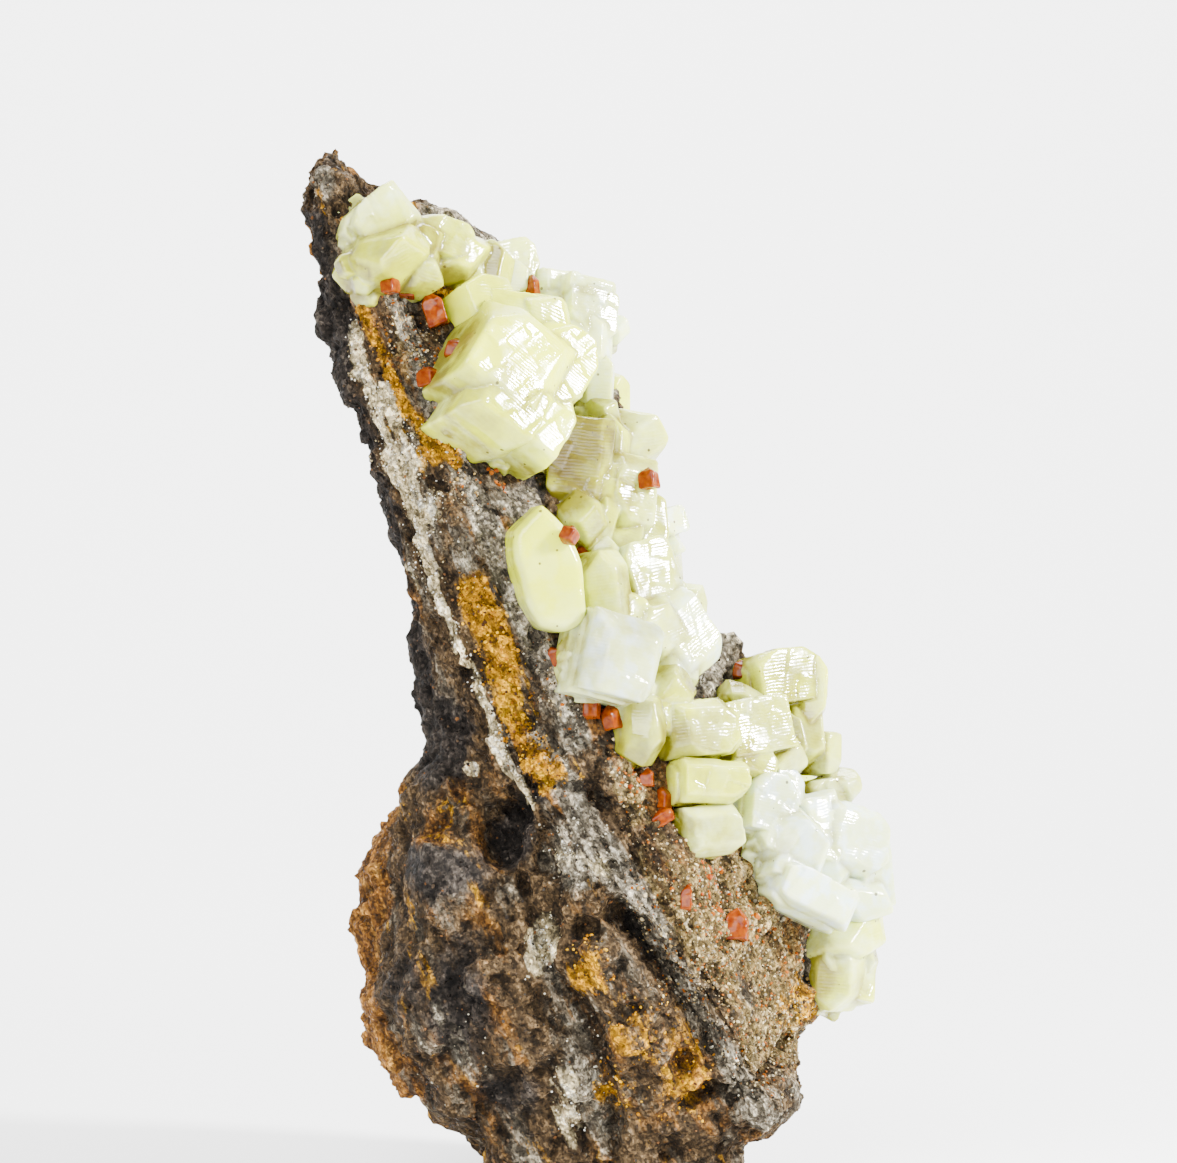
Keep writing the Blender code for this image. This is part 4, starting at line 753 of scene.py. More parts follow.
# Crystals that fill the gaps between those above, in the same terms. They are in this surface alone.
FILLING_CRYSTALS = {
    "cerussite_crown_cluster": (
        (-9.0, 46.2, 0.8, (1.35, 1.5, 1.4), 18, 24, 10, "lump"),
        (-8.9, 44.95, 0.5, (1.3, 1.3, 0.95), 14, 28, 4, "lump"),
        (-6.4, 44.7, 0.5, (1.3, 1.3, 0.9), -10, 34, 8, "prism"),
    ),
    "cerussite_great_crystal": (
        (-4.6, 42.6, 0.9, (1.3, 1.6, 1.2), 10, 24, 16, "block"),
    ),
    "cerussite_striped_stack": (
        (-2.0, 43.2, 0.5, (1.1, 1.2, 1.3), -8, 24, 4, "block"),
        (-1.3, 41.5, 0.6, (0.9, 1.1, 1.3), 10, 40, 8, "prism"),
    ),
    "cerussite_honey_cluster": (
        (0.35, 36.6, 0.9, (1.1, 1.4, 1.4), 12, 36, 10, "prism"),
        (0.35, 34.3, 0.8, (1.1, 1.4, 1.3), -14, 22, 4, "block"),
        (1.1, 31.7, 0.7, (1.2, 1.3, 1.1), 20, 28, 10, "lump"),
    ),
    "cerussite_waist_cluster": (
        (0.2, 31.0, 0.8, (0.8, 1.2, 0.9), 20, 30, 14, "prism"),
        (1.1, 28.3, 0.9, (1.0, 1.3, 1.0), -24, 30, 10, "block"),
        (3.4, 29.3, 0.7, (1.0, 1.3, 1.1), 24, 40, 0, "lump"),
        (3.6, 25.6, 0.8, (1.1, 1.3, 1.0), 10, 32, 14, "block"),
    ),
    "cerussite_lower_step": (
        (3.1, 23.4, 0.8, (1.1, 1.2, 1.0), 14, 34, 6, "block"),
        (6.2, 22.6, 0.9, (1.1, 1.3, 1.2), -14, 26, 10, "prism"),
    ),
    "cerussite_ridge_cluster": (
        (7.2, 21.1, 0.8, (1.2, 1.3, 1.0), 14, 34, 10, "block"),
        (9.6, 22.0, 0.6, (1.1, 1.3, 1.2), -6, 30, 14, "prism"),
    ),
    "cerussite_white_mass": (
        (9.2, 19.6, 1.1, (0.9, 1.0, 0.8), 20, 33, 16, "block"),
        (10.6, 18.3, 1.1, (1.3, 1.4, 1.0), -12, 30, 13, "block"),
        (9.4, 15.9, 1.9, (1.0, 1.0, 0.9), 32, 31, 15, "block"),
        (11.3, 15.6, 1.9, (1.1, 1.1, 0.9), -22, 33, 12, "prism"),
        (10.9, 16.9, 1.7, (0.8, 0.9, 0.9), 12, 30, 16, "block"),
        (8.6, 17.5, 1.5, (0.8, 0.9, 1.0), 30, 29, 14, "block"),
    ),
    "cerussite_foot_cluster": (
        (11.7, 11.3, 0.9, (1.0, 1.1, 1.0), 16, 32, 12, "block"),
        (13.0, 11.2, 0.5, (0.8, 1.1, 0.9), -12, 34, 14, "prism"),
    ),
}
FILLING_FIRST_SEED = 700

# Cerussite round the corner, on the flank that the front view hides: (y, z, rise), then as above.
REAR_CRYSTAL_GROUPS = {
    "cerussite_rear_upper": (
        (4.2, 41.2, 0.7, (1.2, 1.2, 1.5), 10, 78, 6, "block"),
        (5.2, 39.2, 0.7, (1.1, 1.1, 1.3), -14, 86, 0, "prism"),
    ),
    "cerussite_rear_middle": (
        (4.4, 31.4, 0.7, (1.3, 1.2, 1.6), 14, 80, 8, "block"),
        (5.6, 29.7, 0.6, (1.2, 1.1, 1.2), -8, 72, 0, "lump"),
        (4.7, 28.4, 0.6, (1.2, 1.1, 1.3), 22, 90, -6, "prism"),
    ),
    "cerussite_rear_lower": (
        (4.6, 21.6, 0.8, (1.5, 1.3, 1.4), -12, 70, 10, "block"),
        (4.9, 19.3, 0.8, (1.3, 1.3, 1.5), 8, 76, 2, "lump"),
        (6.6, 20.6, 0.6, (1.1, 1.1, 1.2), -20, 88, 4, "prism"),
    ),
    "cerussite_rear_foot": (
        (4.7, 13.8, 0.7, (1.4, 1.2, 1.4), 16, 76, 0, "block"),
        (5.9, 12.3, 0.6, (1.1, 1.1, 1.2), -10, 86, -8, "lump"),
    ),
}
REAR_FIRST_SEED = 500


def surface_y(x, z):
    """Depth of the rock's plain front at a place in the front view, read straight between corner lines."""
    band_left, band_right, edge = corner_positions(np.array([z]))[0, [2, 3, 4]]
    start, end = (band_left, band_right) if x < band_right[0] else (band_right, edge)
    share = min(max((x - start[0]) / (end[0] - start[0]), 0.0), 1.0)
    return start[1] + share * (end[1] - start[1])


def solid_tree(names):
    """The triangles of the frame's solids, ready to be met by a line."""
    points, triangles, start = [], [], 0
    for name in names:
        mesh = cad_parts[name].data
        places = np.empty(len(mesh.vertices) * 3, np.float32)
        corners = np.empty(len(mesh.loops), np.int32)
        mesh.vertices.foreach_get("co", places)
        mesh.loops.foreach_get("vertex_index", corners)
        points += places.reshape(-1, 3).tolist()
        triangles += (corners.reshape(-1, 3) + start).tolist()
        start = len(points)
    return BVHTree.FromPolygons(points, triangles)


def front_place(tree, x, z, rise):
    """The point that stands out by rise from what is foremost at a place in the front view."""
    origin = (np.array((x, -60.0, z)) + FRAME_SHIFT) * MM
    hit = tree.ray_cast(Vector(origin), Vector((0, 1, 0)))[0]
    depth = hit.y / MM - FRAME_SHIFT[1] if hit else surface_y(x, z)
    return np.array((x, min(depth, surface_y(x, z) + 1.5) - rise, z))


def flank_place(tree, y, z, rise):
    """The same for the flank behind the cavity wall, met from the right."""
    origin = (np.array((60.0, y, z)) + FRAME_SHIFT) * MM
    hit = tree.ray_cast(Vector(origin), Vector((-1, 0, 0)))[0]
    return np.array((hit.x / MM - FRAME_SHIFT[0] + rise, y, z))


def unit_directions(count):
    """Directions spread evenly over a ball, by the golden angle."""
    k = np.arange(count) + 0.5
    up = 1 - 2 * k / count
    turn = np.pi * (1 + 5 ** 0.5) * k
    flat = np.sqrt(1 - up ** 2)
    return np.stack([flat * np.cos(turn), flat * np.sin(turn), up], axis=-1)


def form_planes(form, seed):
    """Outward directions and distances of the faces of a crystal of half size 1. A block is a cube with some
    edges and corners cut, a flat crystal is its outline with slanted rims, a prism has six sides and cut
    ends, a needle has four sides and a point, and a lump has fifteen faces turned evenly all round."""
    rng = np.random.default_rng(seed)
    if form == "block":
        faces = [(v, 1.0) for v in np.vstack([np.eye(3), -np.eye(3)])]
        for i, j in ((0, 1), (0, 2), (1, 2)):
            for a, b in ((1, 1), (1, -1), (-1, 1), (-1, -1)):
                edge = np.zeros(3)
                edge[i], edge[j] = a, b
                if rng.random() < 0.5:
                    faces.append((edge, rng.uniform(1.5, 1.8)))
        for corner in np.ndindex(2, 2, 2):
            if rng.random() < 0.4:
                faces.append((np.array(corner) * 2.0 - 1, rng.uniform(2.0, 2.5)))
    elif form in FORM_OUTLINES:
        points = np.array(FORM_OUTLINES[form])
        along = np.roll(points, -1, axis=0) - points
        outward = np.stack([-along[:, 1], along[:, 0]], axis=-1) / np.linalg.norm(along, axis=1)[:, None]
        reach = (outward * points).sum(axis=1)
        faces = [(np.array([0.0, end, 0.0]), 1.0) for end in (-1, 1)]
        for (x, z), distance in zip(outward, reach):
            faces.append((np.array([x, 0.0, z]), distance))
            faces.append((np.array([x, -0.55, z]), distance + 0.55 * 0.80))
    elif form == "prism":
        turns = 2 * np.pi * (np.arange(6) + 0.5) / 6
        faces = [(np.array([np.sin(a), np.cos(a), 0.0]), rng.uniform(0.88, 1.0)) for a in turns]
        for end in (1, -1):
            faces.append((np.array([0.0, 0.0, end]), 1.0))
            for a in turns[::2]:
                faces.append((np.array([np.sin(a), np.cos(a), end * 1.1]), rng.uniform(1.45, 1.7)))
    elif form == "needle":
        four = np.radians(np.arange(0, 360, 90) + rng.uniform(20, 70))
        faces = [(np.array([np.sin(a), np.cos(a), 0.0]), rng.uniform(0.75, 0.95)) for a in four]
        faces += [(np.array([np.sin(a), np.cos(a), 1.2]), rng.uniform(1.15, 1.5)) for a in four]
        faces.append((np.array([0.0, 0.0, -1.0]), 1.0))
    else:
        directions = unit_directions(15) + rng.normal(0, 0.14, (15, 3))
        faces = [(v / np.linalg.norm(v), rng.uniform(0.86, 1.04)) for v in directions]
    return np.array([v for v, _ in faces]), np.array([d for _, d in faces])


def crystal_planes(half_sizes, form, seed):
    """The same faces on a crystal of real half sizes: unit normals and distances."""
    directions, distances = form_planes(form, seed)
    directions = directions / np.array(half_sizes)
    length = np.linalg.norm(directions, axis=1)
    return directions / length[:, None], distances / length


def turned(lean, turn, tip):
    """Leans the crystal in the front view, tips its face upward, then turns it to the right."""
    return np.array(
        Euler((0, 0, np.radians(turn))).to_matrix()
        @ Euler((-np.radians(tip), 0, 0)).to_matrix()
        @ Euler((0, np.radians(lean), 0)).to_matrix()
    )


# The outlines of two flat crystals as they are seen, anticlockwise from the left, in half sizes.
FORM_OUTLINES = {
    "oval": ((-0.96, 0.60), (-0.20, 1.02), (0.42, 0.66), (0.88, 0.12), (0.98, -0.72), (0.79, -0.88),
             (0.37, -0.98), (-0.25, -0.88), (-0.62, -0.53), (-0.98, 0.22)),
    "pentagon": ((-1.0, 0.45), (-0.2, 0.95), (0.75, 0.75), (1.0, -0.1), (0.45, -0.95), (-0.75, -0.8)),
}
# How sharp each form's edges are, the terraces on some of its faces (width, step, tilt), the lattice that the
# skin is found on, how widely neighbours fuse, and how much larger than its solid each crystal is.
EDGE_SHARPNESS = {"block": 46.0, "prism": 46.0, "lump": 24.0, "needle": 14.0, "oval": 34.0, "pentagon": 40.0}
TERRACES = {"block": (1.05, 0.08, 0.07)}
TERRACED_FACES = (0, 2, 4)
GRID_SPACING = 0.085
FUSE_WIDTH = 0.055
SWELLING = 1.05
# How uneven the faces are: (height, pitch, seed).
FACE_SWAY = ((0.035, 1.3, 95), (0.014, 0.38, 96))
# How narrow the painted highlight along an edge is, how wide the painted shade in the crevice between two
# crystals, how widely their tints blend, and how the olive tint, partly painted shade, fades from the wall
# outward.
EDGE_NARROWNESS = 26.0
CREVICE_SHADE_WIDTH = 0.30
TINT_BLEND = 0.3
OLIVE_SHADE_FADE = (1.15, 0.45)
# Each crystal's root in the wall: how deep next to its smallest half size, at most how deep, and its size.
ROOT_DEPTH = 0.75
ROOT_DEEPEST = 0.95
ROOT_SIZE = 0.94
# The small crystals round its foot: how many, how large next to it, of what size it is counted at most, how
# far in, how far turned, and their forms. Roots and small crystals are more olive, a painted shade at the
# foot, by a factor and a sum.
BED_COUNT = 7
BED_SIZES = (0.24, 0.48)
BED_LARGEST = 1.5
BED_REACH = 0.80
BED_DEPTHS = (0.45, 0.95)
BED_TURN = 0.5
BED_FORMS = ("block", "prism", "block", "lump")
FOOT_SHADE_TINT = ((1.0, 1.2, 0.7, 1.0), (0.0, 0.25, 0.0, 0.0))
# The tints: how yellow-green, how olive near the wall (olive tone with painted shade) and how milky white
# each group is, and how honey brown.
# Some crystals differ from their group, and are named by their place in the rows above, counted from 0.
GROUP_TINTS = {
    "cerussite_great_crystal": (0.95, 0.40, 0.05, 0.0),
    "cerussite_pentagon_crystal": (0.95, 0.30, 0.05, 0.0),
    "cerussite_crown_cluster": (0.85, 1.0, 0.05, 0.16),
    "cerussite_crest_pair": (0.45, 0.50, 0.35, 0.0),
    "cerussite_striped_stack": (0.25, 0.30, 0.55, 0.0),
    "cerussite_side_sliver": (0.30, 0.30, 0.45, 0.0),
    "cerussite_honey_cluster": (0.60, 0.85, 0.20, 0.14),
    "cerussite_rim_pair": (0.12, 0.05, 0.80, 0.0),
    "cerussite_yellow_tablet": (1.00, 0.15, 0.00, 0.0),
    "cerussite_waist_cluster": (0.50, 0.60, 0.38, 0.05),
    "cerussite_lower_step": (0.72, 0.90, 0.10, 0.22),
    "cerussite_square_block": (0.80, 0.75, 0.10, 0.12),
    "cerussite_milky_block": (0.35, 0.60, 0.35, 0.12),
    "cerussite_fan_cluster": (0.65, 0.90, 0.15, 0.14),
    "cerussite_ridge_cluster": (0.55, 1.0, 0.20, 0.24),
    "cerussite_right_lumps": (0.35, 0.70, 0.35, 0.20),
    "cerussite_white_mass": (0.12, 0.12, 1.00, 0.0),
    "cerussite_foot_cluster": (0.60, 0.60, 0.35, 0.0),
    "cerussite_rear_upper": (0.60, 0.60, 0.20, 0.0),
    "cerussite_rear_middle": (0.60, 0.60, 0.20, 0.0),
    "cerussite_rear_lower": (0.55, 0.60, 0.25, 0.0),
    "cerussite_rear_foot": (0.50, 0.60, 0.30, 0.0),
}
CRYSTAL_TINTS = {
    1: (1.00, 0.50, 0.00, 0.0), 4: (1.00, 0.15, 0.10, 0.0), 6: (0.60, 0.40, 0.30, 0.0),
    7: (0.90, 1.0, 0.0, 0.35), 9: (0.85, 1.0, 0.0, 0.05), 19: (0.75, 1.0, 0.00, 1.0),
    21: (0.55, 0.50, 0.30, 0.0), 29: (0.60, 0.80, 0.20, 0.20), 31: (0.20, 0.30, 0.75, 0.20),
    33: (0.22, 0.15, 0.80, 0.0), 35: (0.75, 0.90, 0.05, 0.55), 38: (0.30, 0.30, 0.60, 0.0),
}
OUT_OF_WALL = np.array((0.68, -0.66, 0.32))
OUT_OF_FLANK = np.array((0.93, 0.30, 0.20))


def outside_distance(points, half_sizes, form, seed):
    """How far points in a crystal's own axes lie outside it: length - length / gauge, where the gauge is the
    soft maximum 1 + log(sum of exp(p (n . point / h - 1))) / p over the faces n, h. Each terrace tile of a
    face has an h of its own, and tilts a little."""
    points = points.astype(np.float32)
    normals, distances = (part.astype(np.float32) for part in crystal_planes(half_sizes, form, seed))
    sharpness = EDGE_SHARPNESS[form]
    reach = points @ normals.T
    distances = np.repeat(distances[None], len(points), axis=0)
    if form in TERRACES:
        tile, step, tilt = TERRACES[form]
        for k in TERRACED_FACES:
            across = np.cross(normals[k], (0.31, 0.17, 0.94) if abs(normals[k][2]) < 0.7 else (1.0, 0.0, 0.0))
            across /= np.linalg.norm(across)
            u = points @ across / tile + 0.37 * k
            u += 0.2 * np.sin(2.3 * u + seed)
            iu = np.floor(u).astype(np.int64)
            v = points @ np.cross(normals[k], across) / (1.3 * tile) + 1.7 * lattice_number(iu, iu, k, seed)
            iv = np.floor(v).astype(np.int64)
            level, lean, dip = (lattice_number(iu, iv, k, 7 * seed + m) for m in (3, 4, 5))
            offset = tilt * tile * ((u - iu - 0.5) * (lean - 0.5) + (v - iv - 0.5) * (dip - 0.5)) * 2
            distances[:, k] += offset - step * np.floor(level * 2.99) / 2
    gauge = np.log(np.exp(sharpness * (np.minimum(reach / distances, 2.0) - 1)).sum(axis=1)) / sharpness + 1
    return np.linalg.norm(points, axis=1) * (1 - 1 / np.maximum(gauge, 0.2))


def face_shades_and_edges(points, half_sizes, form, seed):
    """A value for each face of a crystal that paints it lighter or darker, blended at its edges, and how near
    each point is to an edge, where a highlight is painted: the log2 of the sum of exp(q (n . point / h - 1))
    over the faces."""
    normals, distances = crystal_planes(half_sizes, form, seed)
    reach = points @ normals.T / distances
    weight = np.exp(EDGE_NARROWNESS * (reach - reach.max(axis=1, keepdims=True)))
    value = np.random.default_rng(seed + 50).random(len(normals))
    edge = np.log2(np.exp(EDGE_NARROWNESS * (np.minimum(reach, 1.4) - 1)).sum(axis=1))
    return weight @ value / weight.sum(axis=1), np.clip(edge, 0, 1)


def skin_through(values, axes):
    """The surface where the values on a lattice pass through zero: one point in each cell it passes, the mean
    of the crossings on the cell's edges, and one quad round each lattice edge that it crosses."""
    shape = np.array(values.shape) - 1
    inside = values < 0
    total, count = np.zeros((*shape, 3)), np.zeros(shape)
    crossings = []
    for axis in range(3):
        first, second = [slice(None)] * 3, [slice(None)] * 3
        first[axis], second[axis] = slice(0, -1), slice(1, None)
        first, second = tuple(first), tuple(second)
        crossed = inside[first] != inside[second]
        spread = np.where(crossed, values[first] - values[second], 1.0)
        share = np.where(crossed, values[first] / spread, 0.0)
        place = np.stack(np.meshgrid(*(axes[k][:-1] if k == axis else axes[k] for k in range(3)),
                                     indexing="ij"), axis=-1)
        place[..., axis] += share * (axes[axis][1] - axes[axis][0])
        place *= crossed[..., None]
        others = [k for k in range(3) if k != axis]
        for a, b in np.ndindex(2, 2):
            part = [slice(None)] * 3
            part[others[0]] = slice(a, shape[others[0]] + a)
            part[others[1]] = slice(b, shape[others[1]] + b)
            total += place[tuple(part)]
            count += crossed[tuple(part)]
        crossings.append((crossed, inside[first]))
    used = count > 0
    number = np.cumsum(used).reshape(shape) - 1
    quads = []
    for axis, (crossed, leaving) in enumerate(crossings):
        second, third = (axis + 1) % 3, (axis + 2) % 3
        cell = np.array(np.nonzero(crossed))
        kept = (cell[second] > 0) & (cell[second] < shape[second])
        kept &= (cell[third] > 0) & (cell[third] < shape[third])
        cell = cell[:, kept]
        ring = []
        for a, b in ((1, 1), (0, 1), (0, 0), (1, 0)):
            corner = cell.copy()
            corner[second] -= a
            corner[third] -= b
            ring.append(number[tuple(corner)])
        ring = np.stack(ring, axis=-1)
        quads.append(np.where(leaving[tuple(cell)][:, None], ring, ring[:, ::-1]))
    return total[used] / count[used][:, None], np.concatenate(quads)


def with_bed(crystals, outward):
    """The same crystals, a little larger, each with a root that runs into the wall and with small crystals
    crowded round its foot, so that neighbours meet."""
    grown = []
    for place, half_sizes, rotation, form, seed, tint in crystals:
        rng = np.random.default_rng(seed + 7000)
        half = np.array(half_sizes) * SWELLING
        grown.append((place, half, rotation, form, seed, tint))
        if form in FORM_OUTLINES:
            continue
        # Painted shade: roots and small crystals at the foot are more olive and less milky.
        foot_shade_tint = np.clip(tint * FOOT_SHADE_TINT[0] + FOOT_SHADE_TINT[1], 0, 1)
        root = place - outward * min(ROOT_DEPTH * half.min(), ROOT_DEEPEST)
        grown.append((root, half * ROOT_SIZE, rotation, form, seed, foot_shade_tint))
        for number in range(BED_COUNT):
            side = rng.normal(size=3)
            side -= outward * (side @ outward) / (outward @ outward)
            side /= np.linalg.norm(side)
            small = min(half.min(), BED_LARGEST) * rng.uniform(*BED_SIZES) * rng.uniform(0.8, 1.25, 3)
            spot = place + (rotation @ ((side @ rotation) * half)) * BED_REACH
            spot = spot - outward * rng.uniform(*BED_DEPTHS) * half.min()
            sway = np.array(Euler(rng.uniform(-BED_TURN, BED_TURN, 3)).to_matrix())
            grown.append((spot, small, rotation @ sway, BED_FORMS[number % 4], seed + 9000 + number, foot_shade_tint))
    return grown


def growth_piece(name, crystals, spacing=GRID_SPACING, sway=FACE_SWAY):
    """One skin round a group's crystals, fused by a soft minimum of their distances:
    -w log(sum of exp(-d / w)). Each point has the tint of the crystals it is nearest to, more olive as
    painted shade near the wall, its place in its own crystal's axes, and painted light and shade: its face's
    value, the highlight near an edge and the shade in a crevice."""
    places = np.array([crystal[0] for crystal in crystals])
    reaches = np.array([np.linalg.norm(crystal[1]) + 4 * spacing for crystal in crystals])
    low, high = (places - reaches[:, None]).min(axis=0), (places + reaches[:, None]).max(axis=0)
    axes = [np.arange(low[k], high[k] + spacing, spacing) for k in range(3)]
    total = np.full([len(axis) for axis in axes], 1e-9)
    for place, reach, (_, half_sizes, rotation, form, seed, _) in zip(places, reaches, crystals):
        part = tuple(slice(*np.searchsorted(axes[k], (place[k] - reach, place[k] + reach))) for k in range(3))
        points = np.stack(np.meshgrid(*(axes[k][part[k]] for k in range(3)), indexing="ij"), axis=-1) - place
        distance = outside_distance(points.reshape(-1, 3) @ rotation, half_sizes, form, seed)
        total[part] += np.exp(-np.clip(distance, -2, 2) / FUSE_WIDTH).reshape(points.shape[:3])
    values = -FUSE_WIDTH * np.log(total)
    near = np.abs(values) < 0.4
    lattice = np.stack([axes[k][index] for k, index in enumerate(np.nonzero(near))], axis=-1)
    values[near] += sum(height * smooth_noise(lattice, pitch, seed) for height, pitch, seed in sway)
    points, quads = skin_through(values, axes)
    own_places = [(points - crystal[0]) @ crystal[2] for crystal in crystals]
    distances = np.full((len(points), len(crystals)), 9.0)
    for k, (crystal, own) in enumerate(zip(crystals, own_places)):
        close = np.linalg.norm(own, axis=1) < reaches[k]
        distances[close, k] = outside_distance(own[close], *crystal[1:2], *crystal[3:5])
    # Painted light and shade: a value per face, and the nearness to an edge that paints a highlight there.
    face_shade, edge = np.zeros((2, len(points)))
    for k, crystal in enumerate(crystals):
        mine = distances.argmin(axis=1) == k
        face_shade[mine], edge[mine] = face_shades_and_edges(own_places[k][mine], *crystal[1:2], *crystal[3:5])
    # Painted shade in the crevice where two crystals meet.
    crevice_shade = np.zeros(len(points))
    if len(crystals) > 1:
        ranked = np.partition(distances, 1, axis=1)[:, :2]
        crevice_shade = np.clip(1 - (ranked[:, 1] - ranked[:, 0]) / CREVICE_SHADE_WIDTH, 0, 1)
    share = np.exp(-np.clip(distances - distances.min(axis=1, keepdims=True), 0, 5) / TINT_BLEND)
    share /= share.sum(axis=1, keepdims=True)
    nearest = distances.argmin(axis=1)
    tint = share @ np.array([crystal[5] for crystal in crystals])
    # Painted shade: the olive grows toward the wall and fades outward.
    rise = ((points - places[nearest]) @ OUT_OF_WALL) / np.array([min(c[1]) for c in crystals])[nearest]
    tint[:, 1] *= np.clip(OLIVE_SHADE_FADE[0] - OLIVE_SHADE_FADE[1] * rise, 0, 1)
    own_place = np.stack(own_places, axis=1)[np.arange(len(points)), nearest] + 3.7 * nearest[:, None]
    piece = mesh_piece(name, points, quads.tolist(), {"tint": tint, "own_place": own_place,
                                                     "faces": np.stack([face_shade, edge, crevice_shade], axis=-1)})
    piece.data.shade_smooth()
    return piece


def cerussite_crystals():
    """Every crystal as (place, half sizes, rotation, form, seed, tint), by group."""
    tree = solid_tree(["gossan_rock"])
    rng = np.random.default_rng(2024)
    groups = {}
    number = 0
    tables = ((CRYSTAL_GROUPS, front_place, 0), (REAR_CRYSTAL_GROUPS, flank_place, REAR_FIRST_SEED))
    for table, find_place, first_seed in tables:
        for group, rows in table.items():
            groups[group] = []
            for across, z, rise, half_sizes, lean, turn, tip, form in rows:
                place = find_place(tree, across, z, rise)
                tint = CRYSTAL_TINTS.get(number, GROUP_TINTS[group])
                tint = np.clip(np.array(tint) * rng.uniform(0.8, 1.2, 4), 0, 1)
                crystal = (place, half_sizes, turned(lean, turn, tip), form, first_seed + number, tint)
                groups[group].append(crystal)
                number += 1
    number = FILLING_FIRST_SEED
    for group, rows in FILLING_CRYSTALS.items():
        for across, z, rise, half_sizes, lean, turn, tip, form in rows:
            tint = np.clip(np.array(GROUP_TINTS[group]) * rng.uniform(0.8, 1.2, 4), 0, 1)
            place = front_place(tree, across, z, rise)
            groups[group].append((place, half_sizes, turned(lean, turn, tip), form, number, tint))
            number += 1
    return groups


CERUSSITE_WHITE = (0.84, 0.92, 0.38, 1)
CERUSSITE_YELLOW = (0.84, 0.92, 0.01, 1)
# Olive tone of the crystals, laid more thickly as painted shade near the wall, at their feet, in crevices and
# on some faces.
CERUSSITE_OLIVE_AND_SHADE = (0.29, 0.265, 0.020, 1)
CERUSSITE_HONEY = (0.074, 0.042, 0.000, 1)
# Milky white, also laid along edges as a painted highlight.
CERUSSITE_MILK_AND_EDGE_LIGHT = (0.80, 0.95, 0.90, 1)
SPECK_BROWN = (0.05, 0.025, 0.008, 1)


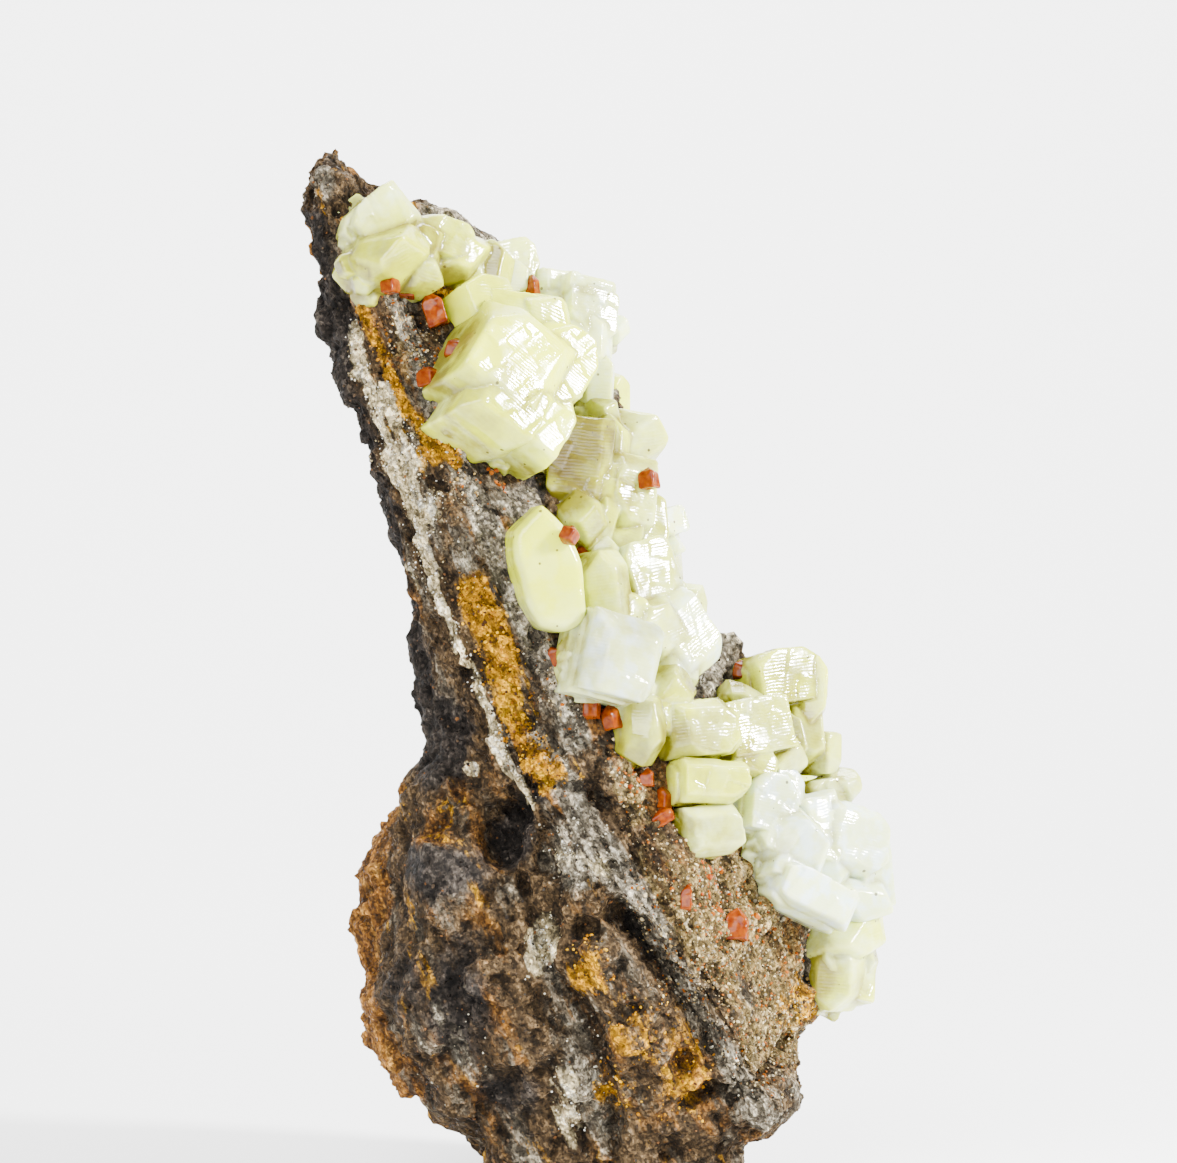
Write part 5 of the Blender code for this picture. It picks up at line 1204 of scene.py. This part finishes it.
def cerussite_material():
    """Milky, waxy lead carbonate: light spreads inside it, clouds of white and yellow, olive tone with
    painted shade near the wall and in crevices, painted light and shade on each face, a painted highlight
    along edges, a few dark specks, and fine growth lines on its glossy faces."""
    material, tree, shader = new_material("milky_cerussite")
    place = add_node(tree, "TexCoord").outputs["Object"]
    own = add_node(tree, "Attribute", attribute_name="own_place").outputs["Vector"]
    given = add_node(tree, "Attribute", attribute_name="tint")
    tint = add_node(tree, "SeparateColor", {0: given.outputs["Color"]})

    def noise(vector, scale, detail=4.0, low=0.35, high=0.65):
        value = add_node(tree, "TexNoise", {"Vector": vector, "Scale": scale, "Detail": detail}).outputs[0]
        inputs = {"Value": value, "From Min": low, "From Max": high}
        return add_node(tree, "MapRange", inputs, clamp=True).outputs[0]

    faces = add_node(tree, "Attribute", attribute_name="faces").outputs[0]
    faces = add_node(tree, "SeparateColor", {0: faces})
    clouds = noise(place, 380.0, 6.0, 0.38, 0.60)
    veils = noise(place, 1300.0, 6.0, 0.45, 0.7)
    yellow = arithmetic(tree, "MULTIPLY", tint.outputs[0], arithmetic(tree, "ADD", 0.70, clouds))
    colour = mix_colours(tree, arithmetic(tree, "MINIMUM", yellow, 1.0), CERUSSITE_WHITE, CERUSSITE_YELLOW)
    milk_and_edge_light = arithmetic(tree, "MULTIPLY", tint.outputs[2], arithmetic(tree, "ADD", veils, 0.35), clamp=True)
    # Painted highlight: the colour turns milky white along the edges.
    milk_and_edge_light = arithmetic(tree, "MAXIMUM", milk_and_edge_light, arithmetic(tree, "MULTIPLY", faces.outputs[1], 0.30))
    colour = mix_colours(tree, milk_and_edge_light, colour, CERUSSITE_MILK_AND_EDGE_LIGHT)
    grain = arithmetic(tree, "MULTIPLY", noise(place, 3800.0, 3.0, 0.35, 0.65), 0.22)
    depth = arithmetic(tree, "ADD", 0.20, noise(place, 520.0, 7.0, 0.38, 0.60))
    depth = arithmetic(tree, "ADD", depth, grain)
    # Painted shade: the faces painted darker are also more olive.
    face_shade_olive = arithmetic(tree, "ADD", 0.45, arithmetic(tree, "MULTIPLY", faces.outputs[0], 0.9))
    depth = arithmetic(tree, "MULTIPLY", depth, face_shade_olive)
    olive_tone_and_shade = arithmetic(tree, "MULTIPLY", tint.outputs[1], depth, clamp=True)
    # Painted shade in the crevices between crystals, laid as more olive.
    painted_crease_shade = arithmetic(tree, "MULTIPLY", faces.outputs[2], noise(place, 800.0, 5.0, 0.3, 0.6))
    olive_tone_and_shade = arithmetic(tree, "ADD", olive_tone_and_shade, arithmetic(tree, "MULTIPLY", painted_crease_shade, 0.55), clamp=True)
    colour = mix_colours(tree, olive_tone_and_shade, colour, CERUSSITE_OLIVE_AND_SHADE)
    stain = noise(place, 420.0, 5.0, 0.25, 0.48)
    honey = arithmetic(tree, "MULTIPLY", given.outputs["Alpha"], stain, clamp=True)
    colour = mix_colours(tree, honey, colour, CERUSSITE_HONEY)
    cell = add_node(tree, "TexVoronoi", {"Vector": place, "Scale": 1500.0})
    chance = add_node(tree, "SeparateColor", {0: cell.outputs["Color"]})
    speck_size = add_node(tree, "MapRange", {"Value": chance.outputs[1], "To Min": 0.04, "To Max": 0.15})
    near_speck = arithmetic(tree, "LESS_THAN", cell.outputs["Distance"], speck_size.outputs[0])
    has_speck = arithmetic(tree, "GREATER_THAN", chance.outputs[0], 0.50)
    speck = arithmetic(tree, "MULTIPLY", near_speck, has_speck)
    colour = mix_colours(tree, arithmetic(tree, "MULTIPLY", speck, 0.8), colour, SPECK_BROWN)
    # Painted light and shade: each face is made a little lighter or darker.
    painted_face_light = add_node(tree, "MapRange", {"Value": faces.outputs[0], "To Min": 1.06, "To Max": 0.72}).outputs[0]
    colour = mix_colours(tree, 1.0, colour, painted_face_light, "MULTIPLY")
    tree.links.new(colour, shader.inputs["Base Color"])
    roughness = add_node(tree, "MapRange", {"Value": veils, "To Min": 0.09, "To Max": 0.26}).outputs[0]
    tree.links.new(roughness, shader.inputs["Roughness"])
    lines = add_node(tree, "TexWave", {"Vector": own, "Scale": 1.9, "Distortion": 3.0, "Detail": 3.0},
                     bands_direction="Z")
    height = arithmetic(tree, "MULTIPLY", lines.outputs[1], 0.25)
    height = arithmetic(tree, "ADD", height, noise(own, 2.2, 4.0, 0.2, 0.8))
    bump = add_node(tree, "Bump", {"Height": height, "Strength": 0.35, "Distance": 0.00004})
    tree.links.new(bump.outputs[0], shader.inputs["Normal"])
    shader.inputs["IOR"].default_value = 1.75
    shader.inputs["Specular IOR Level"].default_value = 0.38
    shader.inputs["Transmission Weight"].default_value = 0.10
    shader.inputs["Subsurface Weight"].default_value = 0.80
    shader.inputs["Subsurface Radius"].default_value = (1.0, 0.95, 0.45)
    shader.inputs["Subsurface Scale"].default_value = 0.0006
    return material


cerussite = cerussite_material()
cerussite_groups = cerussite_crystals()
for group, crystals in cerussite_groups.items():
    outward = OUT_OF_FLANK if group in REAR_CRYSTAL_GROUPS else OUT_OF_WALL
    piece = growth_piece(group + "_surface", with_bed(crystals, outward))
    piece.data.materials.append(cerussite)
    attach(piece, "root")
    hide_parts(group)

# The crocoite. Small stubby crystals of lead chromate, bright orange and glossy, that grew on the wall beside
# the cerussite and in its corners. The larger ones are pieces of their own, and the smallest are grit.
# Each row: place across and up the front view, rise, half sizes, lean.
CROCOITE_CRYSTALS = (
    (-10.0, 44.35, 0.3, (0.42, 0.45, 0.45), 0),
    (-9.25, 44.2, 0.4, (0.46, 0.45, 0.42), 10),
    (-7.95, 43.35, 0.5, (0.58, 0.6, 0.95), -16),
    (-6.9, 41.3, 0.4, (0.38, 0.45, 0.58), 25),
    (-8.05, 39.9, 0.4, (0.66, 0.55, 0.5), 0),
    (-3.15, 44.6, 0.9, (0.32, 0.5, 0.6), 0),
    (2.6, 35.05, 0.35, (0.48, 0.5, 0.55), 0),
    (-1.3, 32.2, 0.6, (0.42, 0.42, 0.44), 30),
    (-0.6, 31.45, 0.5, (0.58, 0.45, 0.42), -30),
    (-1.95, 26.35, 0.2, (0.38, 0.4, 0.5), -25),
    (-0.2, 23.95, 0.3, (0.42, 0.45, 0.62), 8),
    (0.75, 23.4, 0.35, (0.45, 0.45, 0.62), -10),
    (2.45, 20.45, 0.2, (0.42, 0.42, 0.46), 0),
    (3.25, 19.45, 0.25, (0.45, 0.45, 0.56), 12),
    (3.2, 18.6, 0.2, (0.62, 0.45, 0.4), -25),
    (6.85, 13.3, 0.25, (0.6, 0.5, 0.8), 6),
    (4.35, 14.75, 0.1, (0.3, 0.35, 0.62), 10),
    (7.15, 25.55, 0.2, (0.32, 0.35, 0.5), 20),
)
CROCOITE_TURN = 25
CROCOITE_TIP = 10
CROCOITE_FIRST_SEED = 900
CROCOITE_SPACING = 0.05
CROCOITE_SWAY = ((0.05, 0.45, 97), (0.02, 0.2, 98))
CROCOITE_DEEP = (0.10, 0.011, 0.000, 1)
CROCOITE_BRIGHT = (0.21, 0.042, 0.000, 1)


def crocoite_material():
    """Clear orange, darker where the clouds inside are, with a wet shine."""
    material, tree, shader = new_material("orange_crocoite")
    own = add_node(tree, "Attribute", attribute_name="own_place").outputs["Vector"]
    value = add_node(tree, "TexNoise", {"Vector": own, "Scale": 2.6, "Detail": 4.0}).outputs[0]
    clouds = add_node(tree, "MapRange", {"Value": value, "From Min": 0.35, "From Max": 0.65}, clamp=True)
    colour = mix_colours(tree, clouds.outputs[0], CROCOITE_DEEP, CROCOITE_BRIGHT)
    tree.links.new(colour, shader.inputs["Base Color"])
    bump = add_node(tree, "Bump", {"Height": value, "Strength": 0.4, "Distance": 0.00006})
    tree.links.new(bump.outputs[0], shader.inputs["Normal"])
    shader.inputs["Roughness"].default_value = 0.16
    shader.inputs["Specular IOR Level"].default_value = 0.16
    shader.inputs["IOR"].default_value = 1.5
    shader.inputs["Subsurface Weight"].default_value = 0.35
    shader.inputs["Subsurface Radius"].default_value = (1.0, 0.25, 0.05)
    shader.inputs["Subsurface Scale"].default_value = 0.0004
    return material


crocoite = crocoite_material()
growth_tree = solid_tree(["gossan_rock"] + list(cerussite_groups))
for number, (x, z, rise, half_sizes, lean) in enumerate(CROCOITE_CRYSTALS, start=1):
    node = f"crocoite_crystal_{number:02d}"
    place = front_place(growth_tree, x, z, rise)
    rotation = turned(lean, CROCOITE_TURN, CROCOITE_TIP)
    crystal = (place, half_sizes, rotation, "needle", CROCOITE_FIRST_SEED + number, (0.0, 0.0, 0.0, 0.0))
    piece = growth_piece(node + "_surface", [crystal], CROCOITE_SPACING, CROCOITE_SWAY)
    piece.data.materials.append(crocoite)
    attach(piece, "root")
    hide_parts(node)

# The grit. Loose and half-grown mineral grains that crust the rock: grey quartz sand, sugary tan grains on
# the cavity wall, crumbs of ochre, white crust, iron crumbs all over, and specks of crocoite. Each kind is
# one piece: its name, where it lies, how many grains, their sizes, the seed, the slot and the colours.
GRAIN_KINDS = (
    ("iron_crumbs", "all", 6000, (0.03, 0.12), 301, "gossan",
     ((0.014, 0.010, 0.007), (0.04, 0.028, 0.018), (0.07, 0.045, 0.026), (0.05, 0.042, 0.033),
      (0.13, 0.055, 0.018))),
    ("grey_sand_grains", "grey", 3600, (0.03, 0.10), 302, "gossan",
     ((0.20, 0.18, 0.13), (0.06, 0.05, 0.035), (0.42, 0.39, 0.30), (0.03, 0.024, 0.017), (0.13, 0.09, 0.05))),
    ("tan_sugary_grains", "tan", 6000, (0.03, 0.12), 303, "gossan",
     ((0.24, 0.155, 0.05), (0.50, 0.39, 0.20), (0.12, 0.07, 0.03), (0.04, 0.025, 0.010), (0.20, 0.05, 0.00),
      (0.25, 0.21, 0.14))),
    ("ochre_crumbs", "ochre", 1500, (0.03, 0.13), 304, "gossan",
     ((0.40, 0.18, 0.00), (0.60, 0.31, 0.00), (0.14, 0.05, 0.00), (0.05, 0.02, 0.006), (0.30, 0.12, 0.00))),
    ("white_crust_grains", "chalk", 2000, (0.03, 0.09), 305, "gossan",
     ((0.60, 0.55, 0.40), (0.34, 0.28, 0.15), (0.75, 0.74, 0.68), (0.16, 0.12, 0.06))),
    ("crocoite_specks", "specks", 130, (0.08, 0.22), 306, "crocoite",
     ((0.25, 0.05, 0.0), (0.28, 0.07, 0.0), (0.19, 0.03, 0.0))),
)
SPECK_PATCHES = (
    (-9.9, 44.2, 1.0, 0.5, 0, 1.0), (-8.3, 40.6, 0.9, 0.9, 0, 0.6), (6.0, 14.5, 2.4, 3.6, -20, 0.5),
    (1.6, 20.6, 0.6, 2.6, -20, 0.7), (9.6, 11.6, 1.2, 1.4, 0, 0.5), (0.6, 23.9, 1.2, 0.8, 0, 0.8),
)
SPECK_PATHS = ((0.35, ((-6.6, 37.0), (-5.4, 36.0), (-4.5, 35.1), (-4.5, 34.2))),)


def icosahedron():
    """The twelve points and twenty triangles of a regular solid of radius 1."""
    g = (1 + 5 ** 0.5) / 2
    points = np.array([(-1, g, 0), (1, g, 0), (-1, -g, 0), (1, -g, 0), (0, -1, g), (0, 1, g),
                       (0, -1, -g), (0, 1, -g), (g, 0, -1), (g, 0, 1), (-g, 0, -1), (-g, 0, 1)], float)
    faces = np.array([(0, 11, 5), (0, 5, 1), (0, 1, 7), (0, 7, 10), (0, 10, 11), (1, 5, 9), (5, 11, 4),
                      (11, 10, 2), (10, 7, 6), (7, 1, 8), (3, 9, 4), (3, 4, 2), (3, 2, 6), (3, 6, 8),
                      (3, 8, 9), (4, 9, 5), (2, 4, 11), (6, 2, 10), (8, 6, 7), (9, 8, 1)])
    return points / np.linalg.norm(points[0]), faces


def random_turns(rng, count):
    """Rotation matrices from random unit quaternions."""
    q = rng.normal(size=(count, 4))
    w, x, y, z = (q / np.linalg.norm(q, axis=1, keepdims=True)).T
    return np.stack([
        np.stack([1 - 2 * (y * y + z * z), 2 * (x * y - w * z), 2 * (x * z + w * y)], axis=-1),
        np.stack([2 * (x * y + w * z), 1 - 2 * (x * x + z * z), 2 * (y * z - w * x)], axis=-1),
        np.stack([2 * (x * z - w * y), 2 * (y * z + w * x), 1 - 2 * (x * x + y * y)], axis=-1),
    ], axis=1)


def scattered_places(weight, count, rng):
    """Random places on the rock's grid and their normals, more where the weight is larger."""
    beside = np.roll(rock_grid, -1, axis=1)
    corners = [rock_grid[:-1], beside[:-1], beside[1:], rock_grid[1:]]
    across, upward = corners[1] - corners[0], corners[3] - corners[0]
    area = np.linalg.norm(np.cross(across, upward), axis=-1)
    chance = (weight[:-1] * area * (rock_grid[:-1, :, 2] > 0.4)).ravel()
    cell = rng.choice(len(chance), count, p=chance / chance.sum())
    s, t = rng.random((2, count, 1))
    a, b, c, d = (corner.reshape(-1, 3)[cell] for corner in corners)
    place = (a * (1 - s) + b * s) * (1 - t) + (d * (1 - s) + c * s) * t
    normal = grid_normals(rock_grid)[:-1].reshape(-1, 3)[cell]
    return place, normal


def grain_piece(name, weight, count, sizes, seed, palette):
    """Twenty-sided grains with each corner drawn in or out at random, squashed, turned and half sunk."""
    rng = np.random.default_rng(seed)
    place, normal = scattered_places(weight, count, rng)
    ball, faces = icosahedron()
    size = sizes[0] + (sizes[1] - sizes[0]) * rng.random(count) ** 2.2
    shape = ball[None] * rng.uniform(0.72, 1.12, (count, 12, 1)) * rng.uniform(0.65, 1.15, (count, 1, 3))
    shape = np.einsum("nij,nkj->nki", random_turns(rng, count), shape) * size[:, None, None]
    points = shape + (place - normal * (0.1 * size)[:, None])[:, None]
    triangles = faces[None] + 12 * np.arange(count)[:, None, None]
    colours = np.array(palette)[rng.integers(0, len(palette), count)] * rng.uniform(0.7, 1.3, (count, 1))
    return mesh_piece(name, points.reshape(-1, 3), triangles.reshape(-1, 3).tolist(), {
        "grain_colour": np.repeat(colours, 12, axis=0),
    })


def grain_material():
    """Small dull to glassy grains, each with the colour it was given, shaded a little by fine noise."""
    material, tree, shader = new_material("mineral_grains")
    place = add_node(tree, "TexCoord").outputs["Object"]
    given = add_node(tree, "Attribute", attribute_name="grain_colour").outputs[0]
    value = add_node(tree, "TexNoise", {"Vector": place, "Scale": 5200.0, "Detail": 2.0}).outputs[0]
    shade = add_node(tree, "MapRange", {"Value": value, "To Min": 0.5, "To Max": 1.45}).outputs[0]
    tree.links.new(mix_colours(tree, 1.0, given, shade, "MULTIPLY"), shader.inputs["Base Color"])
    shader.inputs["Roughness"].default_value = 0.55
    shader.inputs["Specular IOR Level"].default_value = 0.1
    return material


grains = grain_material()
everywhere = np.full(rock_grid.shape[:2], 0.35)
rock_zones["specks"] = zone_share(plain_points, SPECK_PATCHES, SPECK_PATHS) ** 2
for name, zone, count, sizes, seed, slot, palette in GRAIN_KINDS:
    weight = everywhere if zone == "all" else rock_zones[zone][:everywhere.size].reshape(everywhere.shape)
    piece = grain_piece(name, weight, count, sizes, seed, palette)
    piece.data.materials.append(grains)
    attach(piece, "root")

# The place it is pictured in. A pale sweep of card that curves up behind it, a small bright lamp to the right
# and a little in front, a broad weak one on the left, one on the card behind, and pale light all round. The
# camera looks level: from 245 mm away its lens takes in 58.8 mm, the width of the photo.
SWEEP_HALF_WIDTH = 600
SWEEP_FRONT = -420
SWEEP_BACK = 260
SWEEP_RADIUS = 200
SWEEP_TOP = 620
SWEEP_MIDDLE = (0, 460, 120)
MIDDLE = (0, 0, 26)
ROOM_LIGHT = 0.8
CAMERA_PLACE = (-0.375, -245.0, 29.925)
CAMERA_LENS = 150
CAMERA_WIDTH = 36
CAMERA_NEAREST = 0.001


def sweep_surface():
    """A strip that runs level from the front, turns up through a quarter circle and goes on straight up."""
    turn = np.linspace(0, np.pi / 2, 24)
    y = np.concatenate([[SWEEP_FRONT], SWEEP_BACK + SWEEP_RADIUS * np.sin(turn), [SWEEP_BACK + SWEEP_RADIUS]])
    z = np.concatenate([[0.0], SWEEP_RADIUS * (1 - np.cos(turn)), [SWEEP_TOP]])
    x = np.array([-SWEEP_HALF_WIDTH, SWEEP_HALF_WIDTH], float)
    points = np.stack(np.broadcast_arrays(x[None], y[:, None], z[:, None]), axis=-1).reshape(-1, 3)
    i = np.arange(len(y) - 1) * 2
    return points, np.stack([i, i + 1, i + 3, i + 2], axis=-1).tolist()


def card_material():
    """Matt white card."""
    material, _, shader = new_material("white_card")
    shader.inputs["Base Color"].default_value = (0.86, 0.86, 0.86, 1)
    shader.inputs["Roughness"].default_value = 0.9
    return material


def soft_lamp(name, target, direction, distance, size, power):
    """A square lamp that faces a target from a direction, sizes in millimetres."""
    towards = Vector(direction).normalized()
    lamp = bpy.data.lights.new(name, "AREA")
    lamp.shape = "SQUARE"
    lamp.size = size * MM
    lamp.energy = power
    holder = bpy.data.objects.new(name, lamp)
    holder.location = (Vector(target) + towards * distance) * MM
    holder.rotation_euler = towards.to_track_quat("Z", "Y").to_euler()
    bpy.context.scene.collection.objects.link(holder)


sweep = mesh_piece("card_sweep", *sweep_surface())
sweep.data.shade_smooth()
sweep.data.materials.append(card_material())
soft_lamp("window_lamp", MIDDLE, (0.84, -0.35, 0.40), 180, 30, 1.8)
soft_lamp("fill_lamp", MIDDLE, (-0.35, -0.80, 0.50), 260, 200, 1.6)
soft_lamp("backdrop_lamp", SWEEP_MIDDLE, (0.0, -0.75, 0.65), 400, 300, 8.0)
world = bpy.data.worlds.new("pale_room")
world.use_nodes = True
world.node_tree.nodes["Background"].inputs[0].default_value = (1.0, 1.0, 1.0, 1)
world.node_tree.nodes["Background"].inputs[1].default_value = ROOM_LIGHT
bpy.context.scene.world = world
lens = bpy.data.cameras.new("camera")
lens.lens = CAMERA_LENS
lens.sensor_width = CAMERA_WIDTH
lens.clip_start = CAMERA_NEAREST
camera = bpy.data.objects.new("camera", lens)
camera.location = (np.array(CAMERA_PLACE) + FRAME_SHIFT) * MM
camera.rotation_euler = (np.pi / 2, 0, 0)
bpy.context.scene.collection.objects.link(camera)
bpy.context.scene.camera = camera
